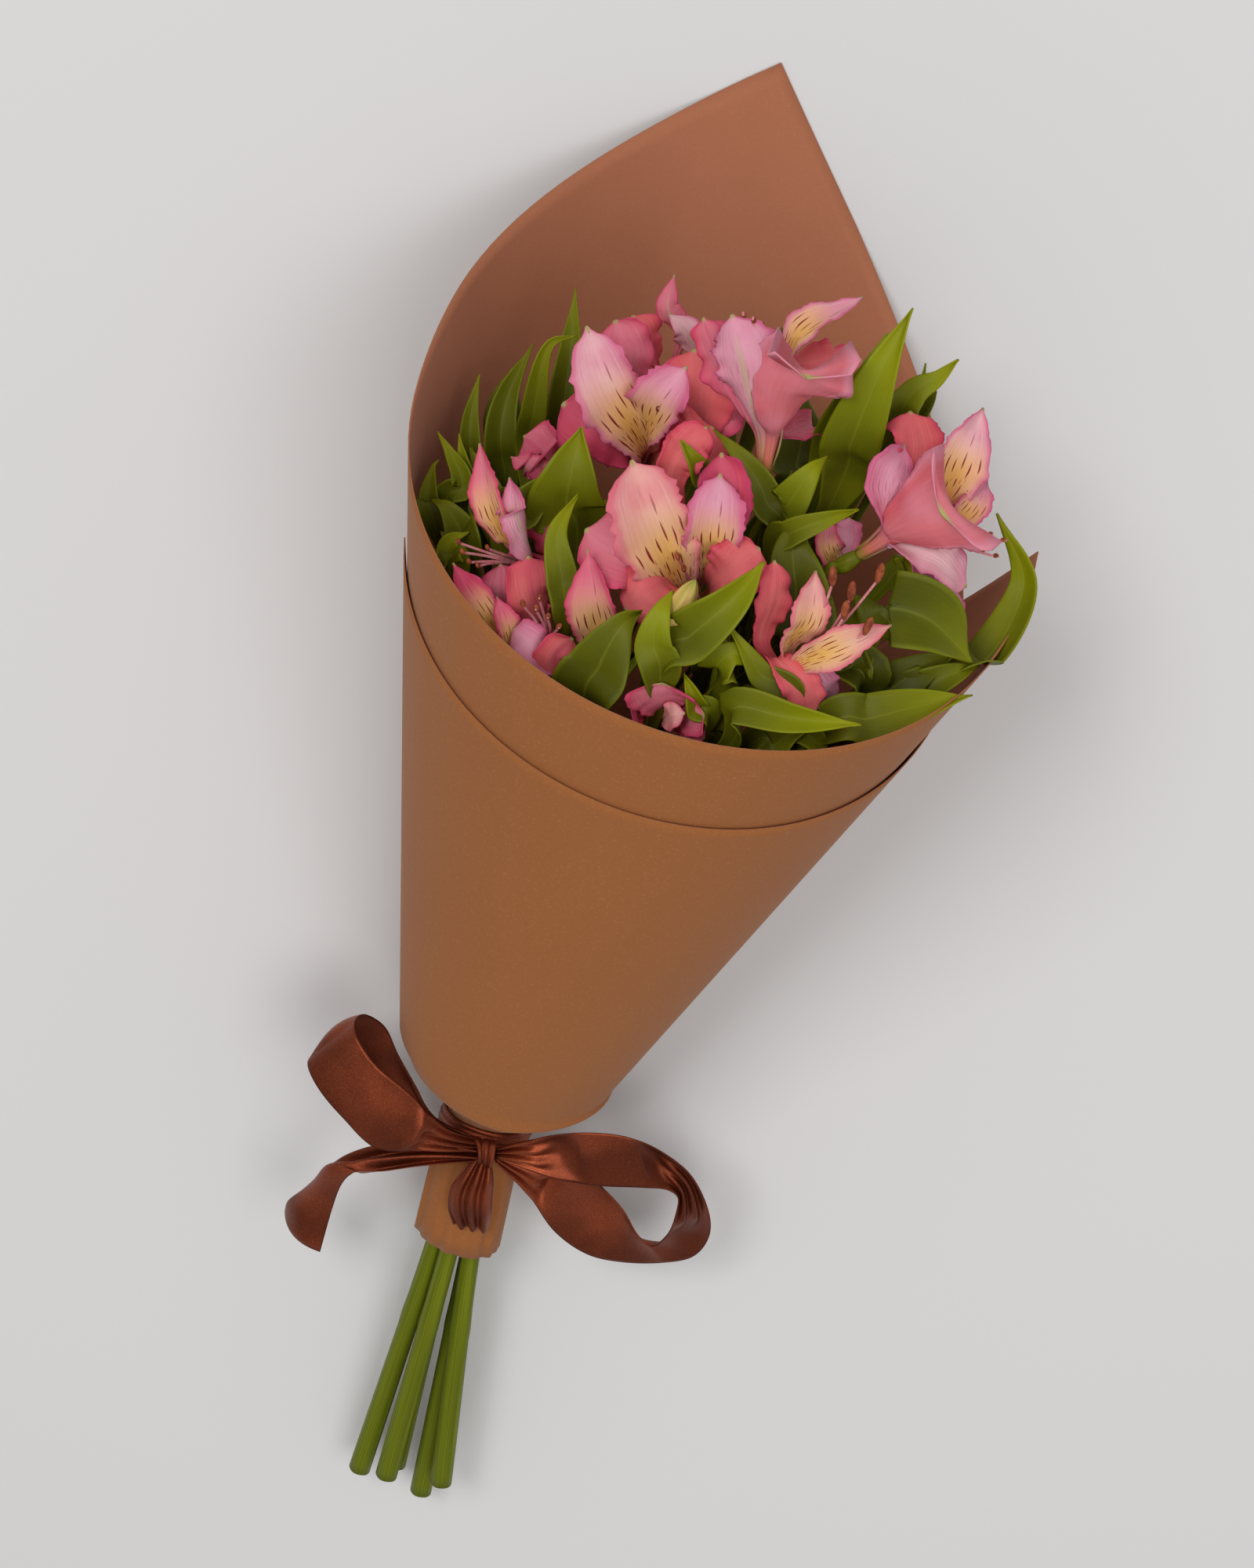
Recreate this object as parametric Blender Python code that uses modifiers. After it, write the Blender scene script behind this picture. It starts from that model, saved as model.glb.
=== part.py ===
"""Alstroemeria bouquet rolled in a sheet of brown paper and tied with a satin bow.

The bunch lies on its back: +Y runs from the cut stems to the blooms, +Z is up, and
the origin is on the flat strip of paper that the bunch rests on. Sizes are written
in millimetres, and each finished mesh is scaled to metres.
"""

import math

import bmesh
import bpy
from mathutils import Matrix, Vector

MM = 0.001
OBJECT_NAME = "alstroemeria_bouquet"

# The sheet is a rectangle rolled to a cone whose point is behind the tie.
CONE_HALF_ANGLE = math.radians(14.6)
CONE_POINT_Y = -240
RIM_DISTANCE = 388
RIM_TO_BACK_CORNER = 348
RIM_TO_FLAP_CORNER = 187
TAIL_DISTANCE = 132
RIM_MIDDLE_ANGLE = 96
ROLL_START = -90
ROLL_END = 606
ROLL_STEP = 12
LAYER_PITCH = 1.2
PAPER_THICKNESS = 0.8
CONE_START = 164
CONE_ROWS = (0.0, 0.6, 1.0)
# The resting side is cut flat over one step of the roll to each side
FLAT_SHARE = math.cos(math.radians(ROLL_STEP))
CONE_LEAN = math.atan(FLAT_SHARE * math.tan(CONE_HALF_ANGLE))
# The open mouth bulges a little at its back left
BULGE = 6
BULGE_ANGLE = 235
BULGE_WIDTH = 50
BULGE_START = 300
BULGE_FULL = 440
# Gathered end of the paper: centre, radius and lean of each ring, from the tail up
GATHER = (
    ((7, -177, 25.5), 15.6, 0),
    ((2.5, -132, 28.5), 15.0, 0),
    ((2.5, -121, 29), 15.0, 0),
    ((2.7, -115, 31), 18, 2),
    ((4.5, -105, 35), 28, 4),
    ((4, -97, 39.8), 38, 8),
)

# Satin ribbon: each pair is a point on one edge and the point across from it
RIBBON_THICKNESS = 0.8
WRAP_WIDTH = 9
WRAP_SIDES = 20
WRAP_RADII = (16.7, 18.3)
WRAP_CENTRE = (2.5, -126.5, 28.8)
KNOT_CENTRE = (3, -127, 49.5)
KNOT_RADII = (8, 6, 4.8)
LEFT_LOOP = (
    ((0, -123, 50), (0, -127, 50)),
    ((-15, -117, 59), (-18, -129, 57)),
    ((-31, -105, 64), (-36, -132, 61)),
    ((-46, -97, 66), (-52, -122, 64)),
    ((-55, -91, 62), (-64, -114, 62)),
    ((-58, -88, 55), (-70, -109, 55)),
    ((-55, -88, 46), (-66, -108, 46)),
    ((-46, -94, 39), (-57, -115, 38)),
    ((-38, -104, 38), (-46, -125, 37)),
    ((-28, -113, 41), (-36, -130, 40)),
    ((-17, -121, 45), (-20, -130, 44)),
    ((0, -123, 48), (0, -126, 48)),
)
RIGHT_LOOP = (
    ((4, -123, 50), (4, -127, 50)),
    ((16, -117, 56), (16, -126, 54)),
    ((35, -103, 61), (36, -125, 59)),
    ((50, -99, 62), (50, -122, 61)),
    ((66, -102, 60), (63, -120, 61)),
    ((81, -113, 53), (75, -121, 61)),
    ((94, -131, 41), (82, -126, 58)),
    ((99, -151, 29), (83, -141, 47)),
    ((91, -164, 24), (77, -151, 40)),
    ((74, -169, 24), (63, -149, 35)),
    ((53, -164, 28), (50, -141, 35)),
    ((36, -150, 34), (37, -135, 39)),
    ((20, -136, 42), (21, -129, 44)),
    ((4, -127, 47), (4, -125, 47)),
)
LONG_TAIL = (
    ((0, -123, 49), (0, -127, 50)),
    ((-14, -124, 50), (-11, -131, 55)),
    ((-26, -131, 49), (-22, -136, 60)),
    ((-36, -141, 46), (-33, -139, 62)),
    ((-44, -151, 41), (-42, -142, 60)),
    ((-52, -160, 38), (-46, -147, 57)),
    ((-57, -167, 37), (-47, -155, 52)),
    ((-57, -176, 35), (-45, -167, 47)),
    ((-55, -185, 33), (-41, -188, 40)),
)
SHORT_TAIL = (
    ((0, -128, 49), (6, -128, 49)),
    ((-3, -139, 50), (10, -137, 50)),
    ((-3, -153, 48), (18, -150, 48)),
    ((0, -168, 46.5), (23, -162, 46)),
    ((4, -181, 46), (27, -176, 44)),
)

# Stems, from the cut end to the top where the flower stalks part
STEM_RADII = (4.4, 3.6, 3.5, 3.0, 2.5)
STEM_SIDES = 6
STEM_STEPS = 12
STALK_SIDES = 5
STALK_SINK = 2
STALK_RADII = (1.5, 1.5, 1.5, 1.7, 2.8, 2.6, 1.8)
STEMS = {
    "left": ((2, -299, 15), (-0.5, -178, 26), (-4.6, -124, 28.5), (-14, -40, 48), (-30, 58, 92)),
    "back": ((16, -297, 8), (4.9, -178, 18.6), (0.6, -124, 21.4), (-4, -40, 28), (-10, 92, 48)),
    "middle": ((29, -303, 13), (13.4, -178, 21.3), (8.8, -124, 24.2), (5, -40, 42), (6, 76, 76)),
    "right": ((34, -289, 24), (13.4, -178, 30.5), (8.8, -124, 33), (17, -40, 56), (30, 72, 88)),
    "front": ((12, -292, 25), (4.9, -178, 33.3), (0.6, -124, 35.8), (1, -40, 68), (6, 44, 118)),
}

# Blooms: stem, foot of the flower tube, way it looks, way its streaked tepals point,
# size and opening (1 is a full bloom)
BLOOMS = {
    "top": ("back", (-26, 145, 78), (-0.15, 0.6, 0.78), (-0.3, 1.0, 0), 1.18, 1.0),
    "centre": ("middle", (2, 119, 113), (-0.12, 0.55, 0.8), (-0.3, 1.0, 0), 1.15, 1.0),
    "trumpet": ("middle", (9, 168, 116), (-0.2, 0.95, -0.1), (0.6, 0.1, -0.8), 1.15, 0.85),
    "peak": ("back", (-24, 170, 62), (-0.25, 0.95, 0.2), (0, 0.1, 1), 0.8, 0.35),
    "right": ("right", (47, 158, 128), (0.8, 0.6, -0.05), (-0.45, 0.85, 0.1), 1.08, 1.0),
    "front": ("front", (30, 109, 141), (0.45, 0.6, 0.6), (-0.5, 0.9, 0.2), 0.85, 0.95),
    "left": ("left", (-46, 117, 116), (-0.9, 0.1, 0.3), (-0.1, 0.9, 0.3), 0.82, 0.9),
    "low": ("left", (-39, 93, 130), (-0.14, 0.7, 0.68), (-0.1, 0.9, 0.1), 0.86, 0.9),
    "inner": ("left", (-38, 122, 75), (-0.5, 0.8, 0.3), (0.2, 0.1, 1), 0.95, 0.7),
    "cup": ("front", (-2, 86, 142), (0.0, 0.5, 0.86), (0, 1, 0), 0.62, 0.3),
    "half_open": ("right", (33, 133, 111), (0.15, 0.95, 0.25), (0, 0.1, 1), 0.62, 0.12),
}
WITH_STAMENS = ("top", "centre", "trumpet", "right", "front", "left", "low")
# Length and width of a full bloom's tepals, where their claws start from the axis,
# how far their edges curl back and how much of the bloom's opening they lean with
TEPAL_THICKNESS = 0.7
TEPAL_STEPS = 24
OUTER_TEPAL = {"size": (50, 26), "start": 2.6, "curl": 0.12, "lean": 1.0, "rows": 6}
INNER_TEPAL = {"size": (52, 16), "start": 1.6, "curl": 0.2, "lean": 0.72, "rows": 5}
OUTER_ANGLES = (0, 120, 240)
INNER_ANGLES = (55, 305, 180)
RECEPTACLE_RADIUS = 3
# Half width of a tepal or leaf along its length, as a share of the widest
OUTER_OUTLINE = ((0, 0.12), (0.3, 0.34), (0.55, 0.86), (0.72, 1.0), (0.87, 0.84), (1, 0.08))
INNER_OUTLINE = ((0, 0.16), (0.3, 0.36), (0.55, 0.74), (0.72, 1.0), (0.87, 0.84), (1, 0.1))
LEAF_OUTLINE = ((0, 0.16), (0.2, 0.4), (0.45, 0.9), (0.6, 1.0), (0.8, 0.74), (0.93, 0.34), (1, 0.06))

# Stamens: filament radius, how far they reach and how far they droop, in full size
FILAMENT_RADIUS = 0.55
STAMEN_REACH = 40
STAMEN_DROOP = 8
STAMEN_SPREAD = (-7, -4.5, -1.5, 1.5, 4.5, 7)

# Green buds: stem, a point its stalk passes, foot, way it points, length
BUD_STALK_RADIUS = 1.3
# Place along a bud and its radius there, both as shares of its length
BUD_PROFILE = ((0, 0.1), (0.2, 0.2), (0.5, 0.24), (0.8, 0.17), (1, 0.05))
BUDS = (
    ("front", (-19, 92, 158), (-9, 127, 164), (0.15, 1.0, 0.05), 17),
    ("front", (12, 96, 144), (9, 120, 160), (-0.1, 1.0, 0.1), 8),
)

# Leaves: stem, place on the stem (0 to 1), points along the middle rib, width and
# the way that the upper face looks
LEAF_THICKNESS = 0.8
LEAF_CUP = 0.25
TO_VIEWER = (-0.1, 0.35, 0.93)
LEAVES = (
    ("right", 0.97,
     ((37, 136, 88), (35, 160, 102), (33, 182, 120), (33, 204, 131), (34, 235, 125)), 22, TO_VIEWER),
    ("right", 0.92, ((50, 186, 105), (51, 205, 104), (58, 220, 100)), 10, TO_VIEWER),
    ("right", 0.85, ((86, 118, 118), (94, 142, 114), (97, 161, 116), (86, 177, 112)), 13, (-0.6, 0.3, 0.7)),
    ("right", 0.95, ((44, 140, 129), (54, 144, 134), (72, 141, 135), (90, 133, 129)), 20, TO_VIEWER),
    ("right", 0.88, ((44, 98, 145), (53, 108, 150), (70, 118, 146), (84, 125, 138)), 14, TO_VIEWER),
    ("right", 0.80, ((60, 114, 126), (72, 119, 124), (84, 126, 120)), 17, TO_VIEWER),
    ("right", 0.90, ((49, 114, 132), (52, 123, 132), (59, 133, 126)), 18, TO_VIEWER),
    ("right", 0.99, ((19, 141, 120), (20, 155, 130), (27, 165, 134), (37, 172, 132)), 9, TO_VIEWER),
    ("right", 0.93, ((22, 147, 108), (22, 162, 115), (25, 175, 118), (27, 185, 114)), 12, TO_VIEWER),
    ("front", 0.94, ((12, 91, 158), (24, 95, 166), (40, 101, 168), (54, 107, 165)), 11, TO_VIEWER),
    ("front", 0.97, ((14, 97, 144), (13, 114, 164), (12, 134, 172), (13, 150, 168)), 14, TO_VIEWER),
    ("front", 0.97, ((20, 98, 154), (19, 113, 163), (14, 126, 168), (7, 131, 165)), 9, TO_VIEWER),
    ("front", 0.95, ((-19, 88, 158), (-22, 101, 169), (-19, 117, 174), (-11, 134, 171)), 20, TO_VIEWER),
    ("front", 0.92, ((-19, 92, 163), (-18, 110, 176), (-17, 126, 180), (-16, 138, 177)), 12, TO_VIEWER),
    ("front", 0.90, ((35, 100, 150), (38, 101, 158), (46, 102, 165)), 11, TO_VIEWER),
    ("middle", 0.96, ((14, 135, 96), (12, 152, 100), (4, 165, 102), (-5, 176, 98)), 14, TO_VIEWER),
    ("left", 0.96, ((-32, 112, 118), (-41, 133, 128), (-49, 151, 135), (-52, 166, 134)), 20, TO_VIEWER),
    ("middle", 0.90, ((17, 176, 80), (12, 197, 80), (9, 216, 76)), 14, TO_VIEWER),
    ("left", 0.92, ((-51, 147, 60), (-57, 166, 55), (-63, 192, 48)), 11, TO_VIEWER),
    ("left", 0.88, ((-66, 139, 58), (-69, 163, 56), (-63, 181, 58)), 9, TO_VIEWER),
    ("left", 0.84, ((-76, 128, 70), (-82, 145, 68), (-84, 158, 64)), 8, TO_VIEWER),
    ("left", 0.86, ((-76, 118, 86), (-84, 129, 82), (-89, 140, 76)), 9, TO_VIEWER),
    ("left", 0.90, ((-68, 105, 100), (-78, 112, 98), (-83, 122, 93)), 9, TO_VIEWER),
    ("left", 0.97, ((-37, 130, 128), (-40, 142, 139), (-43, 151, 143), (-42, 159, 140)), 8, TO_VIEWER),
    ("left", 0.93, ((-45, 122, 60), (-56, 132, 54), (-70, 140, 48)), 14, TO_VIEWER),
    ("back", 0.95, ((8, 130, 60), (16, 160, 66), (20, 190, 70)), 16, TO_VIEWER),
    ("back", 0.93, ((20, 120, 66), (44, 140, 74), (62, 160, 80)), 18, TO_VIEWER),
    ("back", 0.85, ((30, 100, 70), (58, 112, 84), (80, 124, 96)), 18, TO_VIEWER),
)
# Colour of each sub-part in linear light, then roughness
PAPER_LOOK = ((0.30, 0.115, 0.06), 0.8)
SATIN_LOOK = ((0.26, 0.045, 0.022), 0.35)
STEM_LOOK = ((0.12, 0.15, 0.012), 0.5)
STAMEN_LOOK = ((0.35, 0.12, 0.05), 0.7)
BLOOM_LOOKS = {
    "top": ((0.56, 0.10, 0.12), 0.5),
    "centre": ((0.52, 0.09, 0.11), 0.5),
    "trumpet": ((0.42, 0.14, 0.15), 0.55),
    "peak": ((0.45, 0.09, 0.11), 0.55),
    "right": ((0.56, 0.18, 0.17), 0.5),
    "front": ((0.50, 0.10, 0.13), 0.5),
    "left": ((0.42, 0.10, 0.18), 0.55),
    "low": ((0.50, 0.09, 0.12), 0.5),
    "inner": ((0.42, 0.04, 0.10), 0.55),
    "cup": ((0.56, 0.22, 0.18), 0.55),
    "half_open": ((0.50, 0.28, 0.24), 0.6),
}


def catmull(points, steps):
    """Evenly counted points of a smooth curve through the given ones."""
    points = [Vector(p) for p in points]
    ends = [points[0] * 2 - points[1], *points, points[-1] * 2 - points[-2]]
    spans = len(points) - 1
    curve = []
    for i in range(steps + 1):
        place = spans * i / steps
        k = min(int(place), spans - 1)
        t = place - k
        a, b, c, d = ends[k : k + 4]
        square = (2 * a - 5 * b + 4 * c - d) * t * t
        cube = (3 * b - a - 3 * c + d) * t**3
        curve.append(0.5 * (2 * b + (c - a) * t + square + cube))
    return curve


def outline_at(outline, t):
    """Half width at t along a blade, eased between the outline's points."""
    for (t0, w0), (t1, w1) in zip(outline, outline[1:]):
        if t <= t1:
            return w0 + (w1 - w0) * (t - t0) / (t1 - t0)
    return outline[-1][1]


def object_from(bm, name):
    """New object holding the bmesh, in the working collection."""
    mesh = bpy.data.meshes.new(name)
    bm.to_mesh(mesh)
    bm.free()
    obj = bpy.data.objects.new(name, mesh)
    bpy.context.scene.collection.objects.link(obj)
    return obj


def apply_modifiers(obj):
    """Replace the object's mesh with its evaluated one."""
    depsgraph = bpy.context.evaluated_depsgraph_get()
    mesh = bpy.data.meshes.new_from_object(obj.evaluated_get(depsgraph))
    obj.modifiers.clear()
    old = obj.data
    obj.data = mesh
    bpy.data.meshes.remove(old)
    return obj


def blade(name, place, rows, columns, thickness):
    """Thin closed blade: a grid shaped by place(u, t), split alike on both faces."""
    bm = bmesh.new()
    bmesh.ops.create_grid(bm, x_segments=columns, y_segments=rows, size=0.5)
    for vert in bm.verts:
        vert.co = place(vert.co.x * 2, vert.co.y + 0.5)
    bmesh.ops.triangulate(bm, faces=bm.faces[:], quad_method="FIXED")
    bmesh.ops.recalc_face_normals(bm, faces=bm.faces[:])
    obj = object_from(bm, name)
    solidify = obj.modifiers.new("thickness", "SOLIDIFY")
    solidify.thickness = thickness
    solidify.offset = 0
    return apply_modifiers(obj)


def tube(name, points, radii, sides):
    """Closed round bar through the points, its radius eased from one to the next."""
    bm = bmesh.new()
    side = None
    rings = []
    for i, point in enumerate(points):
        ahead = points[min(i + 1, len(points) - 1)] - points[max(i - 1, 0)]
        ahead.normalize()
        if side is None:
            side = ahead.orthogonal().normalized()
        side = (side - ahead * side.dot(ahead)).normalized()
        across = ahead.cross(side)
        ring = []
        for k in range(sides):
            turn = 2 * math.pi * k / sides
            ring.append(bm.verts.new(point + (side * math.cos(turn) + across * math.sin(turn)) * radii[i]))
        rings.append(ring)
    for low, high in zip(rings, rings[1:]):
        for k in range(sides):
            n = (k + 1) % sides
            bm.faces.new((low[k], low[n], high[n], high[k]))
    bm.faces.new(rings[0][::-1])
    bm.faces.new(rings[-1])
    bmesh.ops.triangulate(bm, faces=bm.faces[:])
    return object_from(bm, name)


def ball(name, centre, radii):
    """Small rounded lump with its own three radii."""
    bm = bmesh.new()
    bmesh.ops.create_icosphere(bm, subdivisions=1, radius=1)
    bmesh.ops.scale(bm, vec=radii, verts=bm.verts[:])
    bmesh.ops.translate(bm, vec=centre, verts=bm.verts[:])
    return object_from(bm, name)


def material(name, colour, roughness, metallic=0.0):
    """Principled material of one colour."""
    mat = bpy.data.materials.new(name)
    mat.use_nodes = True
    shader = mat.node_tree.nodes["Principled BSDF"]
    shader.inputs["Base Color"].default_value = (*colour, 1)
    shader.inputs["Roughness"].default_value = roughness
    shader.inputs["Metallic"].default_value = metallic
    return mat


def fuse(name, pieces, look, home):
    """Union of the pieces as one node with its own material, scaled to metres."""
    core = pieces[0]
    if len(pieces) > 1:
        group = bpy.data.collections.new(name + "_pieces")
        for piece in pieces[1:]:
            bpy.context.scene.collection.objects.unlink(piece)
            group.objects.link(piece)
        union = core.modifiers.new("union", "BOOLEAN")
        union.operation = "UNION"
        union.operand_type = "COLLECTION"
        union.collection = group
        union.solver = "MANIFOLD"
        apply_modifiers(core)
        for piece in pieces[1:]:
            bpy.data.objects.remove(piece)
        bpy.data.collections.remove(group)
    core.name = name
    core.data.name = name
    core.data.materials.clear()
    core.data.materials.append(material(name, *look))
    core.data.transform(Matrix.Scale(MM, 4))
    bpy.context.scene.collection.objects.unlink(core)
    home.objects.link(core)
    return core


# Paper


def sheet_edge(angle):
    """Distance from the cone's point to the sheet's edge, along the ray at this angle."""
    phi = math.radians(angle - RIM_MIDDLE_ANGLE) * math.sin(CONE_HALF_ANGLE)
    reach = []
    if math.cos(phi) > 0:
        reach.append(RIM_DISTANCE / math.cos(phi))
    if math.sin(phi) > 0:
        reach.append(RIM_TO_BACK_CORNER / math.sin(phi))
    if math.sin(phi) < 0:
        reach.append(-RIM_TO_FLAP_CORNER / math.sin(phi))
    if math.cos(phi) < 0:
        reach.append(-TAIL_DISTANCE / math.cos(phi))
    return min(reach)


def corner_angle(along, square):
    """Roll angle of the sheet's corner at these distances along and square to the rim."""
    phi = math.atan2(along, square)
    return RIM_MIDDLE_ANGLE + math.degrees(phi / math.sin(CONE_HALF_ANGLE))


def roll_angles():
    """Angles of the rays: even steps and the corners, alike in all the layers."""
    corners = (
        corner_angle(RIM_TO_BACK_CORNER, RIM_DISTANCE),
        corner_angle(-RIM_TO_FLAP_CORNER, RIM_DISTANCE),
        corner_angle(RIM_TO_BACK_CORNER, -TAIL_DISTANCE),
    )
    angles = set(range(ROLL_START, ROLL_END + 1, ROLL_STEP))
    for corner in corners:
        for turn in (-360, 0, 360):
            if ROLL_START < corner + turn < ROLL_END:
                angles.add(corner + turn)
    return sorted(angles)


def ring_point(centre, radius, lean, angle):
    """Point at a roll angle on a ring; the ring's resting side is cut flat."""
    turns = round((270 - angle) / 360)
    offset = LAYER_PITCH * (angle - 270) / 360
    across = (radius + offset) * math.cos(math.radians(angle))
    up = (radius + offset) * math.sin(math.radians(angle))
    floor = -FLAT_SHARE * radius + LAYER_PITCH * turns
    if abs((angle - 270 + 180) % 360 - 180) < ROLL_STEP + 0.1:
        up = floor
    return Vector(centre) + Vector((across, -up * math.sin(lean), up * math.cos(lean)))


def cone_point(slant, angle):
    """Point of the outer face of the paper at a distance from the cone's point."""
    reach = slant * math.cos(CONE_HALF_ANGLE)
    centre = (0, CONE_POINT_Y + reach * math.cos(CONE_LEAN), reach * math.sin(CONE_LEAN))
    point = ring_point(centre, slant * math.sin(CONE_HALF_ANGLE), CONE_LEAN, angle)
    away = abs((angle - BULGE_ANGLE + 180) % 360 - 180) / BULGE_WIDTH
    if away < 1 and slant > BULGE_START and abs(angle % 360 - 270) > ROLL_STEP + 0.1:
        rise = min((slant - BULGE_START) / (BULGE_FULL - BULGE_START), 1) ** 2
        turn = math.radians(angle)
        out = Vector((math.cos(turn), 0, max(math.sin(turn), -0.5)))
        point += out * (BULGE * rise * (1 - away * away) ** 2)
        point.z = max(point.z, 0)
    return point


def paper_wrap(home):
    """Sheet rolled nearly twice round and gathered to a neck at its low end."""
    bm = bmesh.new()
    rays = []
    for angle in roll_angles():
        ray = [ring_point(centre, radius, math.radians(lean), angle) for centre, radius, lean in GATHER]
        edge = sheet_edge(angle)
        ray += [cone_point(CONE_START + (edge - CONE_START) * share, angle) for share in CONE_ROWS]
        rays.append([bm.verts.new(p) for p in ray])
    for near, far in zip(rays, rays[1:]):
        for k in range(len(near) - 1):
            bm.faces.new((near[k], near[k + 1], far[k + 1], far[k]))
    bmesh.ops.triangulate(bm, faces=bm.faces[:], quad_method="FIXED")
    sheet = object_from(bm, "paper")
    solidify = sheet.modifiers.new("thickness", "SOLIDIFY")
    solidify.thickness = PAPER_THICKNESS
    solidify.offset = -1
    apply_modifiers(sheet)
    return fuse("paper_wrapper", [sheet], PAPER_LOOK, home)


# Ribbon


def strip(name, pairs, steps):
    """Ribbon blade whose two edges run through the paired points."""
    first = catmull([a for a, b in pairs], steps)
    second = catmull([b for a, b in pairs], steps)

    def place(u, t):
        k = round(t * steps)
        return first[k].lerp(second[k], (u + 1) / 2)

    return blade(name, place, steps, 2, RIBBON_THICKNESS)


def wrap_band():
    """The turns of ribbon round the neck, as one plain band."""
    inner, outer = WRAP_RADII
    half = WRAP_WIDTH / 2
    profile = ((inner, -half), (outer, -half), (outer, half), (inner, half))
    bm = bmesh.new()
    rings = []
    for k in range(WRAP_SIDES):
        turn = 2 * math.pi * k / WRAP_SIDES
        points = [Vector((r * math.cos(turn), y, r * math.sin(turn))) for r, y in profile]
        rings.append([bm.verts.new(Vector(WRAP_CENTRE) + point) for point in points])
    for near, far in zip(rings, rings[1:] + rings[:1]):
        for j in range(len(profile)):
            n = (j + 1) % len(profile)
            bm.faces.new((near[j], near[n], far[n], far[j]))
    bmesh.ops.recalc_face_normals(bm, faces=bm.faces[:])
    return object_from(bm, "wrap")


def satin_bow(home):
    """Band round the neck, a knot, two loops and two tails."""
    pieces = [
        wrap_band(),
        ball("knot", KNOT_CENTRE, KNOT_RADII),
        strip("left_loop", LEFT_LOOP, 20),
        strip("right_loop", RIGHT_LOOP, 23),
        strip("long_tail", LONG_TAIL, 12),
        strip("short_tail", SHORT_TAIL, 6),
    ]
    return fuse("satin_bow", pieces, SATIN_LOOK, home)


# Flowers


class BloomFrame:
    """Axes of one bloom: where its foot is, where it looks and which side is up."""

    def __init__(self, foot, look, up):
        self.foot = Vector(foot)
        self.axis = Vector(look).normalized()
        up = Vector(up)
        self.up = (up - self.axis * up.dot(self.axis)).normalized()
        self.side = self.axis.cross(self.up)

    def radial(self, angle):
        turn = math.radians(angle)
        return self.up * math.cos(turn) + self.side * math.sin(turn)


def tepal(frame, angle, kind, outline, size, opening):
    """One tepal: a claw that rises in the tube, then a blade that flares out."""
    length, width = (size * part for part in kind["size"])
    width *= 0.6 + 0.4 * opening
    out = frame.radial(angle)
    across = frame.axis.cross(out)
    first = math.radians(8)
    last = math.radians(10 + 60 * opening * kind["lean"])
    spine = [frame.foot + out * kind["start"]]
    leans = []
    for i in range(TEPAL_STEPS):
        lean = first + (last - first) * ((i + 0.5) / TEPAL_STEPS) ** 1.3
        leans.append(lean)
        way = frame.axis * math.cos(lean) + out * math.sin(lean)
        spine.append(spine[-1] + way * (length / TEPAL_STEPS))
    leans.append(leans[-1])

    def place(u, t):
        k = round(t * TEPAL_STEPS)
        outward = out * math.cos(leans[k]) - frame.axis * math.sin(leans[k])
        half = outline_at(outline, t) * width / 2
        return spine[k] + across * (u * half) - outward * (kind["curl"] * u * u * half)

    return blade("tepal", place, kind["rows"], 2, TEPAL_THICKNESS)


def bloom(name, spec, home):
    """Six tepals fused on a small receptacle."""
    stem, foot, look, up, size, opening = spec
    frame = BloomFrame(foot, look, up)
    pieces = [ball("receptacle", frame.foot + frame.axis * 0.5, (RECEPTACLE_RADIUS,) * 3)]
    for angle in OUTER_ANGLES:
        pieces.append(tepal(frame, angle, OUTER_TEPAL, OUTER_OUTLINE, size, opening))
    for angle in INNER_ANGLES:
        pieces.append(tepal(frame, angle, INNER_TEPAL, INNER_OUTLINE, size, opening))
    return fuse("bloom_" + name, pieces, BLOOM_LOOKS[name], home)


def stamens(name, spec, home):
    """Six drooping filaments with their anthers, on a slender core inside the tube."""
    stem, foot, look, up, size, opening = spec
    frame = BloomFrame(foot, look, up)

    def place(forward, down, sideways):
        return frame.foot + (frame.axis * forward - frame.up * down + frame.side * sideways) * size

    pieces = [tube("core", [place(4.2, 0, 0), place(9, 0, 0)], [0.9, 1.5], 6)]
    for k, spread in enumerate(STAMEN_SPREAD):
        reach = STAMEN_REACH - 4 * (k % 2)
        droop = STAMEN_DROOP - 0.5 * spread
        tip = place(reach, droop, spread)
        way = (frame.axis * 0.5 + frame.up + frame.side * 0.1 * spread).normalized()
        line = [place(8.6, 0.5 - k % 2, spread * 0.12), place(22, droop * 0.35, spread * 0.45), tip]
        line += [tip + way * step for step in (0.8, 2.4, 4.2)]
        thickness = [FILAMENT_RADIUS, FILAMENT_RADIUS, FILAMENT_RADIUS, 1.1, 1.2, 0.5]
        pieces.append(tube("filament", line, thickness, 3))
    return fuse("stamens_" + name, pieces, STAMEN_LOOK, home)


def leaf(stem_point, points, width, face):
    """Lance-shaped leaf whose middle rib runs from the stem through the points."""
    steps = 12
    rib = catmull([stem_point, *points], steps)
    face = Vector(face).normalized()

    def place(u, t):
        k = round(t * steps)
        ahead = (rib[min(k + 1, steps)] - rib[max(k - 1, 0)]).normalized()
        across = ahead.cross(face).normalized()
        lift = across.cross(ahead)
        half = outline_at(LEAF_OUTLINE, t) * width / 2
        return rib[k] + across * (u * half) + lift * (LEAF_CUP * u * u * half)

    return blade("leaf", place, 5 if width < 12 else 6, 2, LEAF_THICKNESS)


def flower_stalk(start, foot, look):
    """Stalk to a flower's foot, with the swollen ovary behind the tepals."""
    look = Vector(look).normalized()
    end = Vector(foot) - look * (RECEPTACLE_RADIUS - 0.4)
    line = catmull([start, end - look * 16, end - look * 8, end], len(STALK_RADII) - 1)
    return tube("stalk", line, STALK_RADII, STALK_SIDES)


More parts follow.
